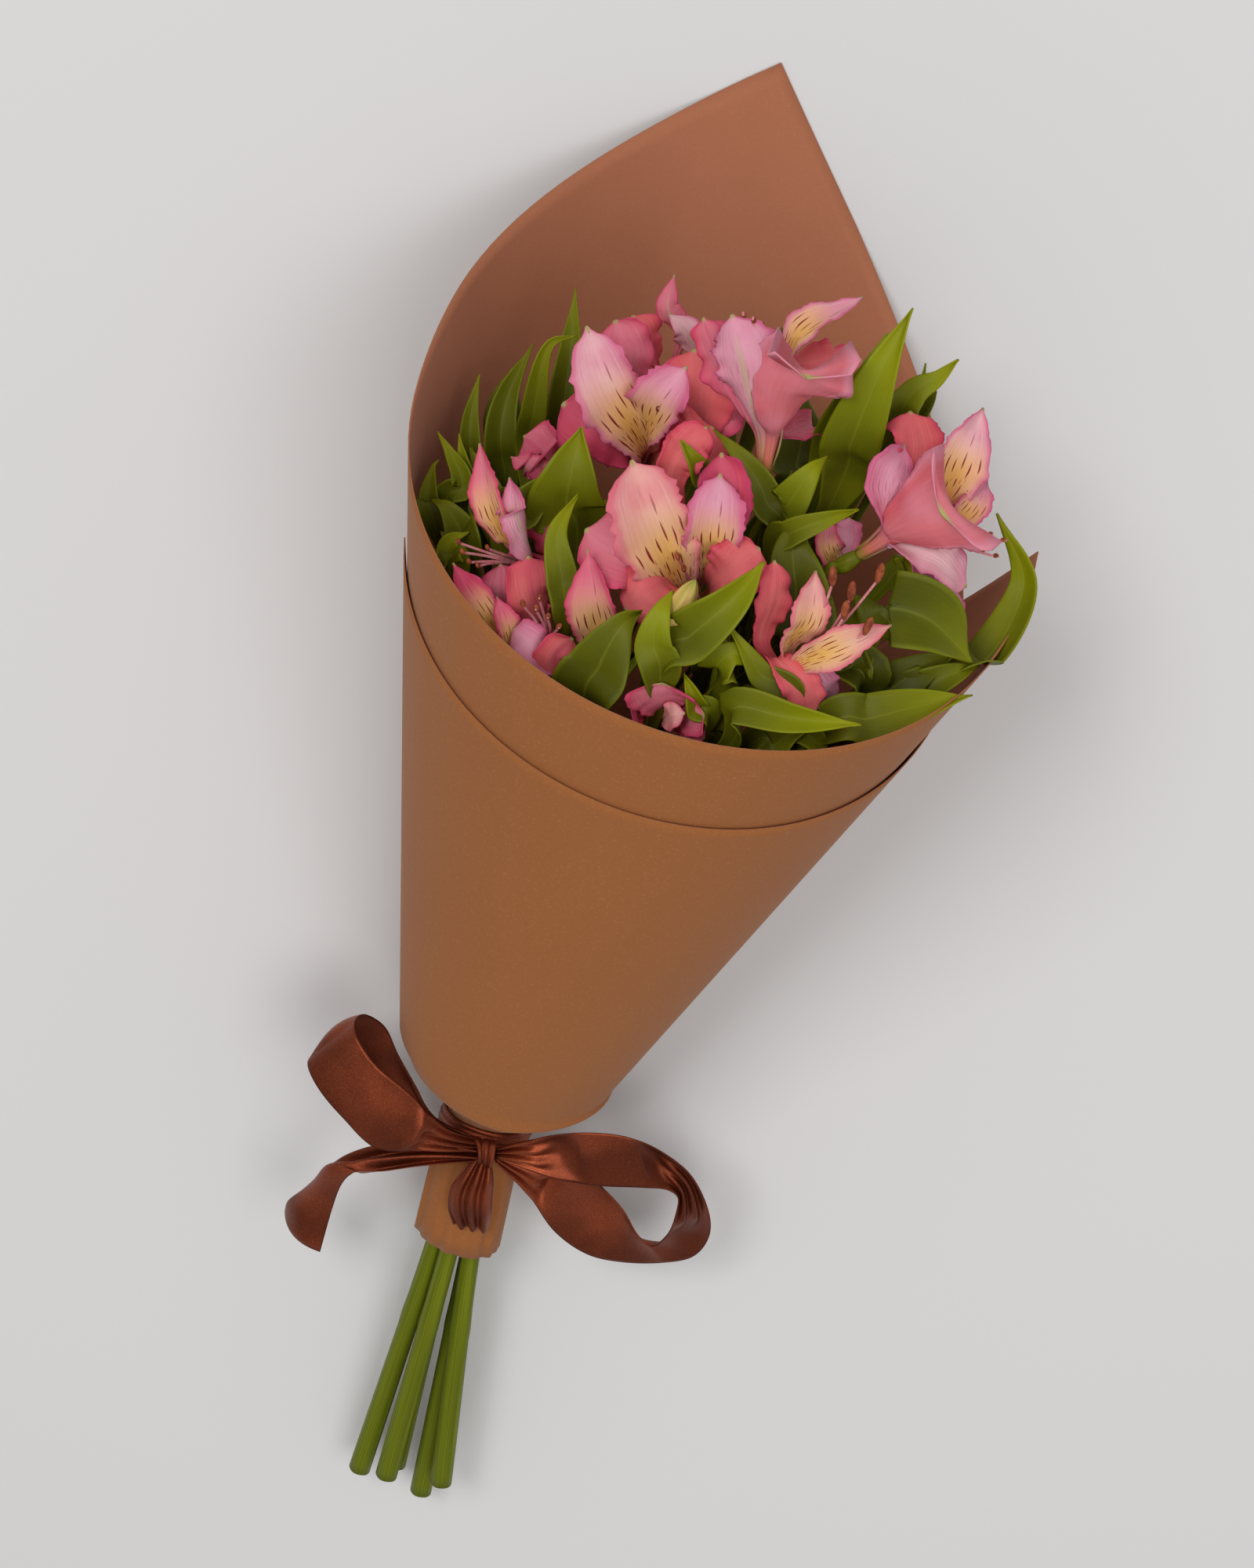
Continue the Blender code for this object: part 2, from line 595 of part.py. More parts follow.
def bud(start, past, foot, look, length):
    """Closed bud on its own thin stalk, as a stalk piece and a body piece."""
    foot = Vector(foot)
    look = Vector(look).normalized()
    stalk = catmull([start, past, foot], 6)
    body = [foot - look + look * length * share for share, radius in BUD_PROFILE]
    return [
        tube("stalk", stalk, [BUD_STALK_RADIUS] * len(stalk), STALK_SIDES),
        tube("bud", body, [length * radius for share, radius in BUD_PROFILE], 6),
    ]


def leafy_stem(name, home):
    """Stem with its flower stalks, buds and leaves."""
    line = catmull(STEMS[name], STEM_STEPS)
    radii_by_place = tuple((i / (len(STEM_RADII) - 1), radius) for i, radius in enumerate(STEM_RADII))
    radii = [outline_at(radii_by_place, k / STEM_STEPS) for k in range(STEM_STEPS + 1)]
    pieces = [tube("stem", line, radii, STEM_SIDES)]
    start = line[-1] - (line[-1] - line[-2]).normalized() * STALK_SINK
    for stem, foot, look, up, size, opening in BLOOMS.values():
        if stem == name:
            pieces.append(flower_stalk(start, foot, look))
    for stem, past, foot, look, length in BUDS:
        if stem == name:
            pieces += bud(start, past, foot, look, length)
    for stem, place, points, width, face in LEAVES:
        if stem == name:
            along = place * STEM_STEPS
            k = min(int(along), STEM_STEPS - 1)
            root = line[k].lerp(line[k + 1], along - k)
            pieces.append(leaf(root, points, width, face))
    return fuse("stem_" + name, pieces, STEM_LOOK, home)


def main():
    for obj in list(bpy.data.objects):
        bpy.data.objects.remove(obj)
    home = bpy.data.collections.new(OBJECT_NAME)
    bpy.context.scene.collection.children.link(home)
    paper_wrap(home)
    satin_bow(home)
    for name in STEMS:
        leafy_stem(name, home)
    for name, spec in BLOOMS.items():
        bloom(name, spec, home)
    for name in WITH_STAMENS:
        stamens(name, BLOOMS[name], home)


main()
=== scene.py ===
"""Alstroemeria bouquet in rolled brown paper with a satin bow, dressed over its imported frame.

The script is laid out as a Blender add-on: property groups hold the sizes and colours,
each operator builds one piece or one group of like pieces, and main() calls them in order.
Lengths in the tables below are millimetres in the frame's axes: +Y runs from the cut stems
to the blooms and +Z is up. Every finished mesh is in metres.
"""

import math
import random

import bmesh
import bpy
from bpy.props import FloatProperty, FloatVectorProperty, IntProperty, PointerProperty
from bpy.types import Operator, Panel, PropertyGroup
from mathutils import Matrix, Vector


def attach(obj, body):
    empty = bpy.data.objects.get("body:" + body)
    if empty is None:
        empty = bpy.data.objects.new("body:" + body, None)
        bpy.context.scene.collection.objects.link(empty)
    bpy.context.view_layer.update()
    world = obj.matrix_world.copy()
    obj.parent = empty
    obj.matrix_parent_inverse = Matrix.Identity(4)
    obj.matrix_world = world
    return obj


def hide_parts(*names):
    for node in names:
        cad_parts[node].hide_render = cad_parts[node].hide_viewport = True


bl_info = {
    "name": "Alstroemeria bouquet",
    "version": (1, 0, 0),
    "blender": (4, 5, 0),
    "location": "3D View > Sidebar > Bouquet",
    "description": "Paper, ribbon, stems, leaves and blooms of a wrapped alstroemeria bouquet",
    "category": "Add Mesh",
}

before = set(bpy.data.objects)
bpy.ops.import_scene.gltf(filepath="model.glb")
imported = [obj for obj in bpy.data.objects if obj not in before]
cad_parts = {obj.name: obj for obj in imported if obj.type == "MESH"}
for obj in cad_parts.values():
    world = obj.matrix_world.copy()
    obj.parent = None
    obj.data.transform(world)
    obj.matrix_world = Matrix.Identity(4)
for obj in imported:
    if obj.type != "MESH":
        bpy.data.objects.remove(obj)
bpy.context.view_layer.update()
MM = 0.001

# The sheet is a rectangle rolled to a cone whose point is behind the tie
CONE_HALF_ANGLE = math.radians(14.6)
CONE_POINT_Y = -240
RIM_DISTANCE = 388
RIM_TO_BACK_CORNER = 348
RIM_TO_FLAP_CORNER = 187
TAIL_DISTANCE = 132
RIM_MIDDLE_ANGLE = 96
ROLL_START = -90
ROLL_END = 606
LAYER_PITCH = 1.2
CONE_START = 164
FLAT_HALF_TURN = 12
FLAT_SHARE = math.cos(math.radians(FLAT_HALF_TURN))
CONE_LEAN = math.atan(FLAT_SHARE * math.tan(CONE_HALF_ANGLE))
BULGE = 6
BULGE_ANGLE = 235
BULGE_WIDTH = 50
BULGE_START = 300
BULGE_FULL = 440
# Gathered end: centre, radius and lean in degrees of each ring, from the tail up
GATHER = (
    ((7, -177, 25.5), 15.6, 0),
    ((2.5, -132, 28.5), 15.0, 0),
    ((2.5, -121, 29), 15.0, 0),
    ((2.7, -115, 31), 18, 2),
    ((4.5, -105, 35), 28, 4),
    ((4, -97, 39.8), 38, 8),
)
# Lift of the right shoulder towards the blooms, ring by ring
SHOULDER = 7
SHOULDER_RISE = ((0, 0), (2, 0), (3, 0.5), (4, 1), (5, 1), (6, 0))

# Satin ribbon: each pair is a point on one edge and the point across from it
WRAP_CENTRE = (2.5, -126.5, 28.8)
WRAP_RADIUS = 17.1
KNOT_CENTRE = (3, -127, 49.5)
LEFT_LOOP = (
    ((0, -123, 50), (0, -127, 50)),
    ((-15, -117, 59), (-18, -129, 57)),
    ((-31, -105, 64), (-36, -132, 61)),
    ((-46, -97, 66), (-52, -122, 64)),
    ((-55, -91, 62), (-64, -114, 62)),
    ((-58, -88, 55), (-70, -109, 55)),
    ((-55, -88, 46), (-66, -108, 46)),
    ((-46, -94, 39), (-57, -115, 38)),
    ((-38, -104, 38), (-46, -125, 37)),
    ((-28, -113, 41), (-36, -130, 40)),
    ((-17, -121, 45), (-20, -130, 44)),
    ((0, -123, 48), (0, -126, 48)),
)
RIGHT_LOOP = (
    ((7, -124, 50), (8, -128, 50)),
    ((15, -114, 57), (20, -126, 55)),
    ((25, -106, 61), (33, -125, 58)),
    ((37, -100, 63), (48, -122, 59)),
    ((51, -98, 62), (63, -119, 57)),
    ((66, -102, 58), (74, -119, 53)),
    ((80, -111, 51), (79, -124, 49)),
    ((92, -127, 43), (80, -134, 48)),
    ((98, -142, 36), (80, -144, 45)),
    ((96, -155, 31), (77, -150, 42)),
    ((86, -163, 28), (71, -148, 40)),
    ((72, -168, 27), (63, -141, 37)),
    ((57, -168, 29), (54, -135, 37)),
    ((41, -160, 33), (46, -130, 40)),
    ((25, -144, 39), (29, -130, 44)),
    ((9, -131, 47), (8, -128, 47)),
)
LONG_TAIL = (
    ((1, -126, 50), (3, -131, 50)),
    ((-11, -127, 52), (-8, -133, 54)),
    ((-24, -131, 52), (-20, -137, 57)),
    ((-35, -137, 50), (-31, -142, 59)),
    ((-44, -147, 46), (-38, -144, 60)),
    ((-51, -158, 42), (-42, -147, 58)),
    ((-56, -169, 39), (-44, -155, 54)),
    ((-60, -178, 35), (-44, -169, 48)),
    ((-60, -184, 33), (-43, -190, 45)),
)
SHORT_TAIL = (
    ((1, -128, 49), (6, -128, 49)),
    ((-3, -139, 51), (10, -137, 51)),
    ((-4, -147, 50), (12, -145, 50)),
    ((-2, -156, 48), (14, -153, 48)),
    ((2, -163, 45), (15, -162, 44)),
)
# Ribbon strips: edge pairs, cut length in metres, rows and pleats at the knot
STRIPS = {
    "left_loop": (LEFT_LOOP, 0.163, 110, 3),
    "right_loop": (RIGHT_LOOP, 0.208, 130, 3),
    "long_tail": (LONG_TAIL, 0.092, 70, 2),
    "short_tail": (SHORT_TAIL, 0.037, 40, 3),
}

# Stems, from the cut end to the top where the flower stalks part
STEM_RADII = (4.4, 3.6, 3.5, 3.0, 2.5)
STEMS = {
    "left": ((2, -299, 15), (-0.5, -178, 26), (-4.6, -124, 28.5), (-14, -40, 48), (-30, 58, 92)),
    "back": ((16, -297, 8), (4.9, -178, 18.6), (0.6, -124, 21.4), (-4, -40, 28), (-10, 92, 48)),
    "middle": ((29, -303, 13), (13.4, -178, 21.3), (8.8, -124, 24.2), (5, -40, 42), (6, 76, 76)),
    "right": ((34, -289, 24), (13.4, -178, 30.5), (8.8, -124, 33), (17, -40, 56), (30, 72, 88)),
    "front": ((12, -292, 25), (4.9, -178, 33.3), (0.6, -124, 35.8), (1, -40, 68), (6, 44, 118)),
}
STALK_SINK = 2
RECEPTACLE = 0.3

# Blooms: stem, foot of the flower tube, way it looks, way its upper side points and
# size, then its tepals: kind, tint, points along the middle, width, roll of its rim
BLOOMS = {
    "top": (
        "back", (-26, 145, 78), (-0.15, 0.6, 0.78), (-0.3, 1.0, 0), 1.18,
        (
            ("outer", "rose", ((-39, 174, 84), (-43, 187, 88), (-50, 195, 84)), 18, 0.5),
            ("outer", "coral", ((-18, 172, 99), (-19, 187, 105), (-24, 197, 99)), 26, 0.6),
            ("outer", "rose", ((-15, 171, 96), (-12, 183, 102), (-8, 188, 96)), 20, 0.8),
            ("outer", "coral", ((-20, 166, 108), (-16, 173, 114), (-11, 177, 109)), 24, 0.5),
            ("outer", "magenta_and_shade", ((-33, 160, 102), (-45, 165, 108), (-59, 168, 104)), 26, 0.6),
            ("streaked", "pale", ((-29, 162, 102), (-46, 179, 115), (-60, 197, 116)), 21, 0),
            ("streaked", "lilac", ((-30, 167, 104), (-31, 182, 117), (-26, 195, 118)), 17, 0),
        ),
    ),
    "centre": (
        "middle", (2, 119, 113), (-0.12, 0.55, 0.8), (-0.3, 1.0, 0), 1.15,
        (
            ("outer", "coral", ((-19, 160, 130), (-20, 171, 134), (-15, 181, 128)), 14, 0.5),
            ("outer", "magenta_and_shade", ((-3, 146, 138), (-3, 163, 144), (-9, 177, 139)), 16, 0.5),
            ("outer", "rose", ((-18, 136, 142), (-29, 140, 148), (-42, 141, 142)), 24, 0.7),
            ("outer", "coral", ((-13, 135, 146), (-19, 132, 154), (-23, 123, 152)), 20, 0.8),
            ("outer", "coral", ((2, 138, 144), (5, 146, 152), (11, 154, 148)), 20, 0.6),
            ("streaked", "lilac", ((-1, 141, 140), (-5, 158, 149), (-8, 172, 145)), 18, 0),
            ("streaked", "cream", ((-9, 134, 141), (-23, 152, 153), (-36, 169, 151)), 26, 0),
        ),
    ),
    "trumpet": (
        "middle", (9, 168, 116), (-0.2, 0.95, -0.1), (0.6, 0.1, -0.8), 1.15,
        (
            ("outer", "coral", ((8, 202, 110), (17, 208, 108), (28, 211, 102)), 16, 0.4),
            ("pointed", "pale", ((5, 204, 112), (6, 216, 112), (21, 231, 106)), 11, 0),
            ("lower", "rose", ((12, 180, 106), (20, 185, 102), (27, 180, 98)), 12, 0.2),
            ("outer", "rose", ((-4, 186, 118), (-17, 199, 120), (-26, 211, 116)), 14, 0.7),
            ("streaked", "lilac", ((-3, 190, 125), (-12, 205, 131), (-19, 217, 128)), 24, 0),
            ("fan", "blush", ((6, 187, 125), (4, 200, 133), (7, 210, 139), (8, 208, 142)), 33, 0.4),
        ),
    ),
    "peak": (
        "back", (-24, 170, 62), (-0.25, 0.95, 0.2), (0, 0.1, 1), 0.8,
        (
            ("outer", "rose", ((-18, 185, 70), (-17, 194, 72), (-20, 200, 66)), 14, 0.4),
            ("outer", "coral", ((-32, 182, 70), (-38, 190, 72), (-44, 195, 68)), 14, 0.4),
            ("pointed", "rose", ((-27, 195, 76), (-35, 204, 82), (-36, 214, 78)), 8, 0),
            ("pointed", "pale", ((-20, 189, 76), (-26, 198, 82), (-34, 202, 82)), 11, 0),
        ),
    ),
    "right": (
        "right", (45, 156, 126), (0.52, 0.82, 0.25), (-0.85, 0.52, 0.1), 1.08,
        (
            ("pointed", "pale", ((62, 180, 128), (64, 195, 128), (67, 212, 120)), 18, 0),
            ("pointed", "lilac", ((67, 175, 130), (73, 182, 130), (76, 191, 122)), 10, 0),
            ("outer", "coral", ((50, 181, 126), (51, 193, 124), (46, 203, 116)), 18, 0.5),
            ("lower", "lilac", ((47, 173, 132), (44, 184, 134), (46, 195, 128)), 18, 0.3),
            ("outer", "lilac", ((59, 162, 126), (72, 156, 127), (83, 144, 122)), 17, 0.6),
            ("outer", "pale", ((56, 165, 132), (67, 166, 136), (80, 158, 132)), 20, 0.5),
            ("fan", "blush", ((50, 168, 136), (56, 177, 144), (63, 185, 150), (60, 183, 154)), 37, 0.3),
        ),
    ),
    "front": (
        "front", (30, 109, 141), (0.45, 0.6, 0.6), (-0.5, 0.9, 0.2), 0.85,
        (
            ("outer", "coral", ((21, 126, 152), (19, 142, 157), (16, 153, 153)), 12, 0.4),
            ("lower", "lilac", ((37, 124, 152), (43, 120, 154), (50, 111, 148)), 12, 0.3),
            ("pointed", "cream", ((28, 130, 158), (30, 142, 164), (28, 156, 161)), 14, 0),
            ("pointed", "cream", ((34, 126, 160), (43, 137, 166), (56, 147, 162)), 12, 0),
            ("outer", "coral", ((26, 124, 158), (34, 121, 163), (44, 111, 158)), 14, 0.9),
        ),
    ),
    "left": (
        "left", (-46, 117, 116), (-0.9, 0.1, 0.3), (-0.1, 0.9, 0.3), 0.82,
        (
            ("outer", "magenta_and_shade", ((-48, 122, 122), (-53, 131, 124), (-57, 138, 120)), 12, 0.4),
            ("outer", "rose", ((-55, 102, 128), (-60, 110, 132), (-63, 118, 128)), 12, 0.5),
            ("outer", "coral", ((-45, 106, 130), (-51, 115, 138), (-56, 125, 134)), 18, 0.7),
            ("lower", "rose", ((-57, 114, 124), (-62, 111, 127), (-67, 105, 123)), 9, 0.4),
            ("pointed", "rose", ((-62, 125, 128), (-72, 138, 134), (-81, 153, 126)), 13, 0),
            ("pointed", "lilac", ((-55, 125, 130), (-63, 137, 138), (-69, 147, 132)), 13, 0),
        ),
    ),
    "low": (
        "left", (-39, 93, 130), (-0.14, 0.7, 0.68), (-0.1, 0.9, 0.1), 0.86,
        (
            ("pointed", "magenta_and_shade", ((-56, 98, 141), (-67, 108, 146), (-78, 117, 140)), 12, 0),
            ("pointed", "rose", ((-51, 96, 144), (-57, 106, 148), (-62, 112, 144)), 9, 0),
            ("outer", "lilac", ((-40, 97, 148), (-46, 103, 154), (-54, 105, 148)), 14, 0.6),
            ("outer", "coral", ((-34, 95, 150), (-39, 102, 156), (-36, 110, 155)), 14, 0.6),
            ("outer", "coral", ((-29, 97, 149), (-29, 103, 153), (-25, 105, 149)), 12, 0.7),
            ("pointed", "rose", ((-26, 106, 148), (-34, 125, 156), (-40, 138, 152)), 16, 0),
        ),
    ),
    "inner": (
        "left", (-38, 122, 75), (-0.5, 0.8, 0.3), (0.2, 0.1, 1), 0.95,
        (
            ("outer", "magenta_and_shade", ((-51, 143, 86), (-54, 149, 88), (-55, 155, 82)), 18, 0.5),
            ("outer", "rose", ((-52, 142, 92), (-60, 148, 96), (-67, 151, 92)), 20, 0.6),
            ("pointed", "rose", ((-54, 138, 96), (-62, 143, 100), (-69, 144, 96)), 11, 0),
        ),
    ),
    "cup": (
        "front", (-2, 86, 142), (0.0, 0.5, 0.86), (0, 1, 0), 0.62,
        (
            ("fan", "rose", ((-3, 98, 158), (-5, 104, 164), (-6, 108, 166)), 23, 0.2),
            ("fan", "magenta_and_shade", ((-8, 94, 157), (-11, 97, 163), (-13, 98, 165)), 15, 0.2),
            ("fan", "rose", ((5, 96, 158), (8, 99, 163), (10, 102, 165)), 14, 0.2),
            ("lower", "cream", ((0, 95, 160), (1, 99, 165), (4, 101, 166)), 9, 0.3),
            ("lower", "rose", ((7, 93, 157), (10, 94, 162), (13, 94, 163)), 11, 0.3),
        ),
    ),
    "half_open": (
        "right", (33, 133, 111), (0.15, 0.95, 0.25), (0, 0.1, 1), 0.62,
        (
            ("outer", "magenta_and_shade", ((42, 147, 112), (38, 153, 114), (37, 160, 110)), 10, 0.3),
            ("outer", "lilac", ((42, 150, 116), (41, 157, 118), (40, 163, 112)), 9, 0.3),
            ("pointed", "rose", ((40, 146, 116), (35, 154, 120), (33, 163, 116)), 10, 0),
        ),
    ),
}
# Half width along a tepal or a leaf, as a share of the widest
OUTER_OUTLINE = (
    (0, 0.13), (0.2, 0.18), (0.34, 0.34), (0.46, 0.58), (0.6, 0.84), (0.74, 1.0), (0.86, 0.98), (0.93, 0.8),
    (0.968, 0.42), (0.985, 0.13), (1, 0.03),
)
FAN_OUTLINE = (
    (0, 0.1), (0.2, 0.14), (0.34, 0.24), (0.46, 0.4), (0.6, 0.62), (0.74, 0.84), (0.86, 1.0), (0.94, 0.96),
    (0.975, 0.62), (0.99, 0.25), (1, 0.04),
)
STREAKED_OUTLINE = (
    (0, 0.13), (0.2, 0.18), (0.34, 0.32), (0.45, 0.5), (0.58, 0.82), (0.7, 0.99), (0.8, 1.0), (0.89, 0.82),
    (0.95, 0.5), (0.975, 0.16), (1, 0.03),
)
POINTED_OUTLINE = (
    (0, 0.13), (0.2, 0.2), (0.34, 0.38), (0.45, 0.6), (0.56, 0.86), (0.66, 1.0), (0.76, 0.93), (0.86, 0.66),
    (0.93, 0.34), (0.975, 0.1), (1, 0.03),
)
LOWER_OUTLINE = ((0, 0.15), (0.3, 0.25), (0.5, 0.6), (0.7, 1.0), (0.85, 0.9), (0.94, 0.45), (0.975, 0.12), (1, 0.04))
LEAF_OUTLINE = (
    (0, 0.08), (0.12, 0.16), (0.25, 0.5), (0.38, 0.84), (0.5, 1.0), (0.62, 0.93), (0.76, 0.66), (0.88, 0.33),
    (0.95, 0.13), (1, 0.02),
)
# Share of a tepal's length that is its claw, and how far its blade turns to the viewer
CLAW_SHARE = 0.45
FACING = 0.5
# Each kind of tepal: distance of its claw from the axis, turn of half its cross-section
# in the claw and in the blade, fold along its middle, edge ruffle and teeth
TEPALS = {
    "outer": {"start": 2.1, "cup": (1.1, 0.25), "fold": 0.06, "ruffle": 2.5, "teeth": 0.04, "outline": OUTER_OUTLINE},
    "fan": {"start": 2.1, "cup": (1.3, 0.8), "fold": 0.05, "ruffle": 1.2, "teeth": 0.03, "outline": FAN_OUTLINE},
    "streaked": {
        "start": 1.3, "cup": (1.2, 0.15), "fold": 0.3, "ruffle": 1.9, "teeth": 0.12, "outline": STREAKED_OUTLINE,
    },
    "pointed": {
        "start": 1.3, "cup": (1.2, 0.2), "fold": 0.38, "ruffle": 1.5, "teeth": 0.07, "outline": POINTED_OUTLINE,
    },
    "lower": {"start": 1.3, "cup": (1.2, 0.35), "fold": 0.12, "ruffle": 1.2, "teeth": 0.03, "outline": LOWER_OUTLINE},
}

# Tips of the stamens of a bloom and the size of their anthers
STAMENS = {
    "top": (0.5, ((-28, 175, 111), (-28, 180, 113), (-30, 178, 115))),
    "centre": (0.5, ((-12, 143, 149), (-10, 146, 147), (-9, 140, 149))),
    "trumpet": (0.4, ((-15, 217, 128), (-12, 217, 130), (-9, 216, 128), (-6, 213, 130))),
    "right": (0.3, ((81, 176, 130), (86, 175, 128), (86, 169, 126), (81, 170, 128), (78, 181, 126))),
    "front": (1.2, ((33, 156, 169), (40, 153, 168), (46, 161, 168), (40, 147, 169), (48, 144, 168))),
    "left": (0.45, ((-78, 124, 140), (-76, 122, 142), (-73, 119, 140), (-70, 118, 138), (-69, 125, 140))),
    "low": (0.5, ((-50, 118, 165), (-46, 117, 166), (-50, 121, 163), (-54, 117, 161), (-42, 115, 166))),
}

# Green buds: stem, a point its stalk passes, foot, way it points, length
BUDS = (
    ("front", (-19, 92, 158), (-9, 127, 164), (0.15, 1.0, 0.05), 17),
    ("front", (12, 96, 144), (9, 120, 160), (-0.1, 1.0, 0.1), 8),
)

# Leaves: stem, place on the stem (0 to 1), points along the middle rib, width, tone and
# painted shade (0 is dark and shaded, 1 is bright yellow green and lit)
TO_VIEWER = (-0.1, 0.35, 0.93)
LEAVES = (
    ("right", 0.92, ((34, 164, 104), (31, 189, 120), (31, 213, 128), (34, 236, 126)), 19, 0.95),
    ("right", 0.94, ((30, 161, 98), (28, 191, 108), (29, 212, 116), (31, 224, 114)), 15, 0.6),
    ("right", 0.90, ((43, 184, 104), (46, 206, 108), (52, 214, 108), (57, 221, 104)), 11, 0.9),
    ("right", 0.90, ((50, 190, 98), (50, 206, 96), (49, 215, 94)), 7, 0.5),
    ("right", 0.84, ((82, 123, 126), (97, 135, 124), (102, 160, 112), (85, 179, 112)), 15, 0.95, (-0.6, 0.3, 0.7)),
    ("right", 0.93, ((54, 138, 140), (56, 146, 142), (71, 146, 140), (91, 135, 134)), 24, 0.45),
    ("right", 0.86, ((47, 103, 152), (61, 114, 156), (76, 121, 150), (92, 128, 144)), 16, 0.7),
    ("right", 0.97, ((17, 152, 118), (18, 165, 126), (21, 177, 128), (25, 182, 122)), 13, 0.9),
    ("right", 0.98, ((19, 145, 124), (21, 157, 132), (29, 165, 134), (39, 171, 130)), 9, 0.75),
    ("right", 0.88, ((55, 113, 138), (52, 124, 142), (54, 130, 142), (59, 135, 138)), 16, 0.15),
    ("right", 0.86, ((62, 107, 132), (68, 120, 137), (75, 129, 137), (84, 135, 132)), 17, 0.2),
    ("right", 0.85, ((69, 111, 132), (78, 124, 137), (86, 131, 136), (94, 134, 130)), 12, 0.45),
    ("right", 0.95, ((57, 148, 122), (59, 154, 124), (63, 157, 122), (67, 159, 118)), 10, 0.85),
    ("front", 0.95, ((22, 94, 160), (18, 108, 168), (35, 111, 170), (57, 115, 168)), 12, 0.9),
    ("front", 0.97, ((-7, 111, 158), (-2, 126, 166), (5, 140, 168), (12, 154, 162)), 17, 0.8),
    ("front", 0.96, ((-6, 104, 162), (-13, 121, 170), (-14, 131, 170), (-12, 137, 164)), 13, 0.95),
    ("front", 0.94, ((-25, 89, 156), (-26, 107, 164), (-24, 121, 166), (-19, 126, 160)), 21, 0.3),
    ("front", 0.98, ((14, 112, 158), (9, 118, 164), (12, 124, 166), (20, 121, 162)), 12, 0.85),
    ("front", 0.97, ((34, 109, 158), (22, 120, 164), (13, 128, 166), (7, 132, 164)), 9, 0.6),
    ("front", 0.93, ((28, 91, 152), (35, 97, 158), (39, 103, 160), (44, 106, 158)), 12, 0.55),
    ("front", 0.92, ((39, 95, 150), (42, 103, 156), (47, 102, 158), (54, 97, 154)), 10, 0.65),
    ("front", 0.92, ((17, 84, 146), (15, 94, 152), (14, 104, 152), (17, 111, 146)), 14, 0.2),
    ("front", 0.93, ((12, 94, 156), (7, 103, 162), (4, 108, 164), (0, 112, 162)), 9, 0.8),
    ("middle", 0.97, ((19, 147, 118), (11, 163, 124), (2, 172, 124), (-11, 178, 116)), 11, 0.45),
    ("middle", 0.98, ((-8, 156, 124), (-14, 168, 134), (-18, 173, 138), (-22, 176, 136)), 11, 0.55),
    ("middle", 0.96, ((34, 120, 132), (29, 139, 136), (23, 153, 134), (22, 164, 126)), 22, 0.25),
    ("middle", 0.95, ((3, 189, 92), (2, 200, 94), (5, 209, 92), (12, 218, 86)), 12, 0.3),
    ("middle", 0.94, ((11, 103, 128), (8, 114, 130), (9, 122, 128), (10, 129, 122)), 16, 0.15),
    ("middle", 0.93, ((24, 130, 112), (21, 146, 112), (20, 158, 108), (19, 169, 100)), 20, 0.15),
    ("left", 0.95, ((-60, 130, 72), (-66, 158, 80), (-68, 179, 82), (-60, 185, 78)), 9, 0.65),
    ("left", 0.94, ((-64, 121, 66), (-73, 142, 70), (-75, 157, 66), (-72, 174, 60)), 11, 0.35),
    ("left", 0.90, ((-74, 118, 66), (-81, 134, 70), (-85, 146, 68), (-86, 159, 62)), 8, 0.45),
    ("left", 0.88, ((-80, 111, 88), (-81, 128, 90), (-88, 136, 86), (-94, 141, 82)), 8, 0.7),
    ("left", 0.87, ((-83, 109, 94), (-90, 120, 92), (-92, 130, 88), (-91, 133, 86)), 8, 0.6),
    ("left", 0.89, ((-73, 109, 84), (-78, 125, 86), (-83, 134, 84), (-87, 142, 80)), 8, 0.7),
    ("left", 0.86, ((-74, 104, 112), (-78, 108, 114), (-80, 115, 112), (-75, 119, 108)), 11, 0.8),
    ("left", 0.91, ((-71, 107, 104), (-77, 116, 102), (-84, 122, 100), (-89, 122, 96)), 12, 0.4),
    ("left", 0.93, ((-62, 111, 88), (-70, 122, 86), (-75, 130, 82), (-82, 138, 78)), 14, 0.3),
    ("left", 0.97, ((-41, 127, 118), (-49, 143, 126), (-51, 155, 130), (-52, 168, 126)), 26, 0.6),
    ("left", 0.96, ((-65, 123, 120), (-61, 136, 122), (-57, 145, 122), (-51, 150, 118)), 14, 0.55),
    ("left", 0.98, ((-39, 110, 146), (-44, 124, 146), (-50, 137, 142), (-47, 149, 134)), 10, 0.8),
    ("left", 0.85, ((-31, 91, 148), (-39, 95, 150), (-48, 97, 150), (-56, 99, 146)), 8, 0.75),
    ("back", 0.97, ((-49, 136, 62), (-56, 158, 66), (-60, 178, 62), (-64, 195, 54)), 11, 0.5),
    ("back", 0.96, ((-46, 112, 92), (-50, 125, 94), (-53, 138, 92), (-53, 147, 86)), 18, 0.15),
    ("back", 0.94, ((-9, 150, 84), (-7, 159, 84), (-4, 167, 80), (-1, 175, 74)), 16, 0.2),
    ("back", 0.95, ((22, 154, 82), (22, 168, 82), (21, 178, 78), (19, 189, 70)), 18, 0.2),
    ("back", 0.92, ((-64, 130, 56), (-70, 139, 56), (-74, 148, 52), (-75, 161, 46)), 16, 0.25),
)


# Settings


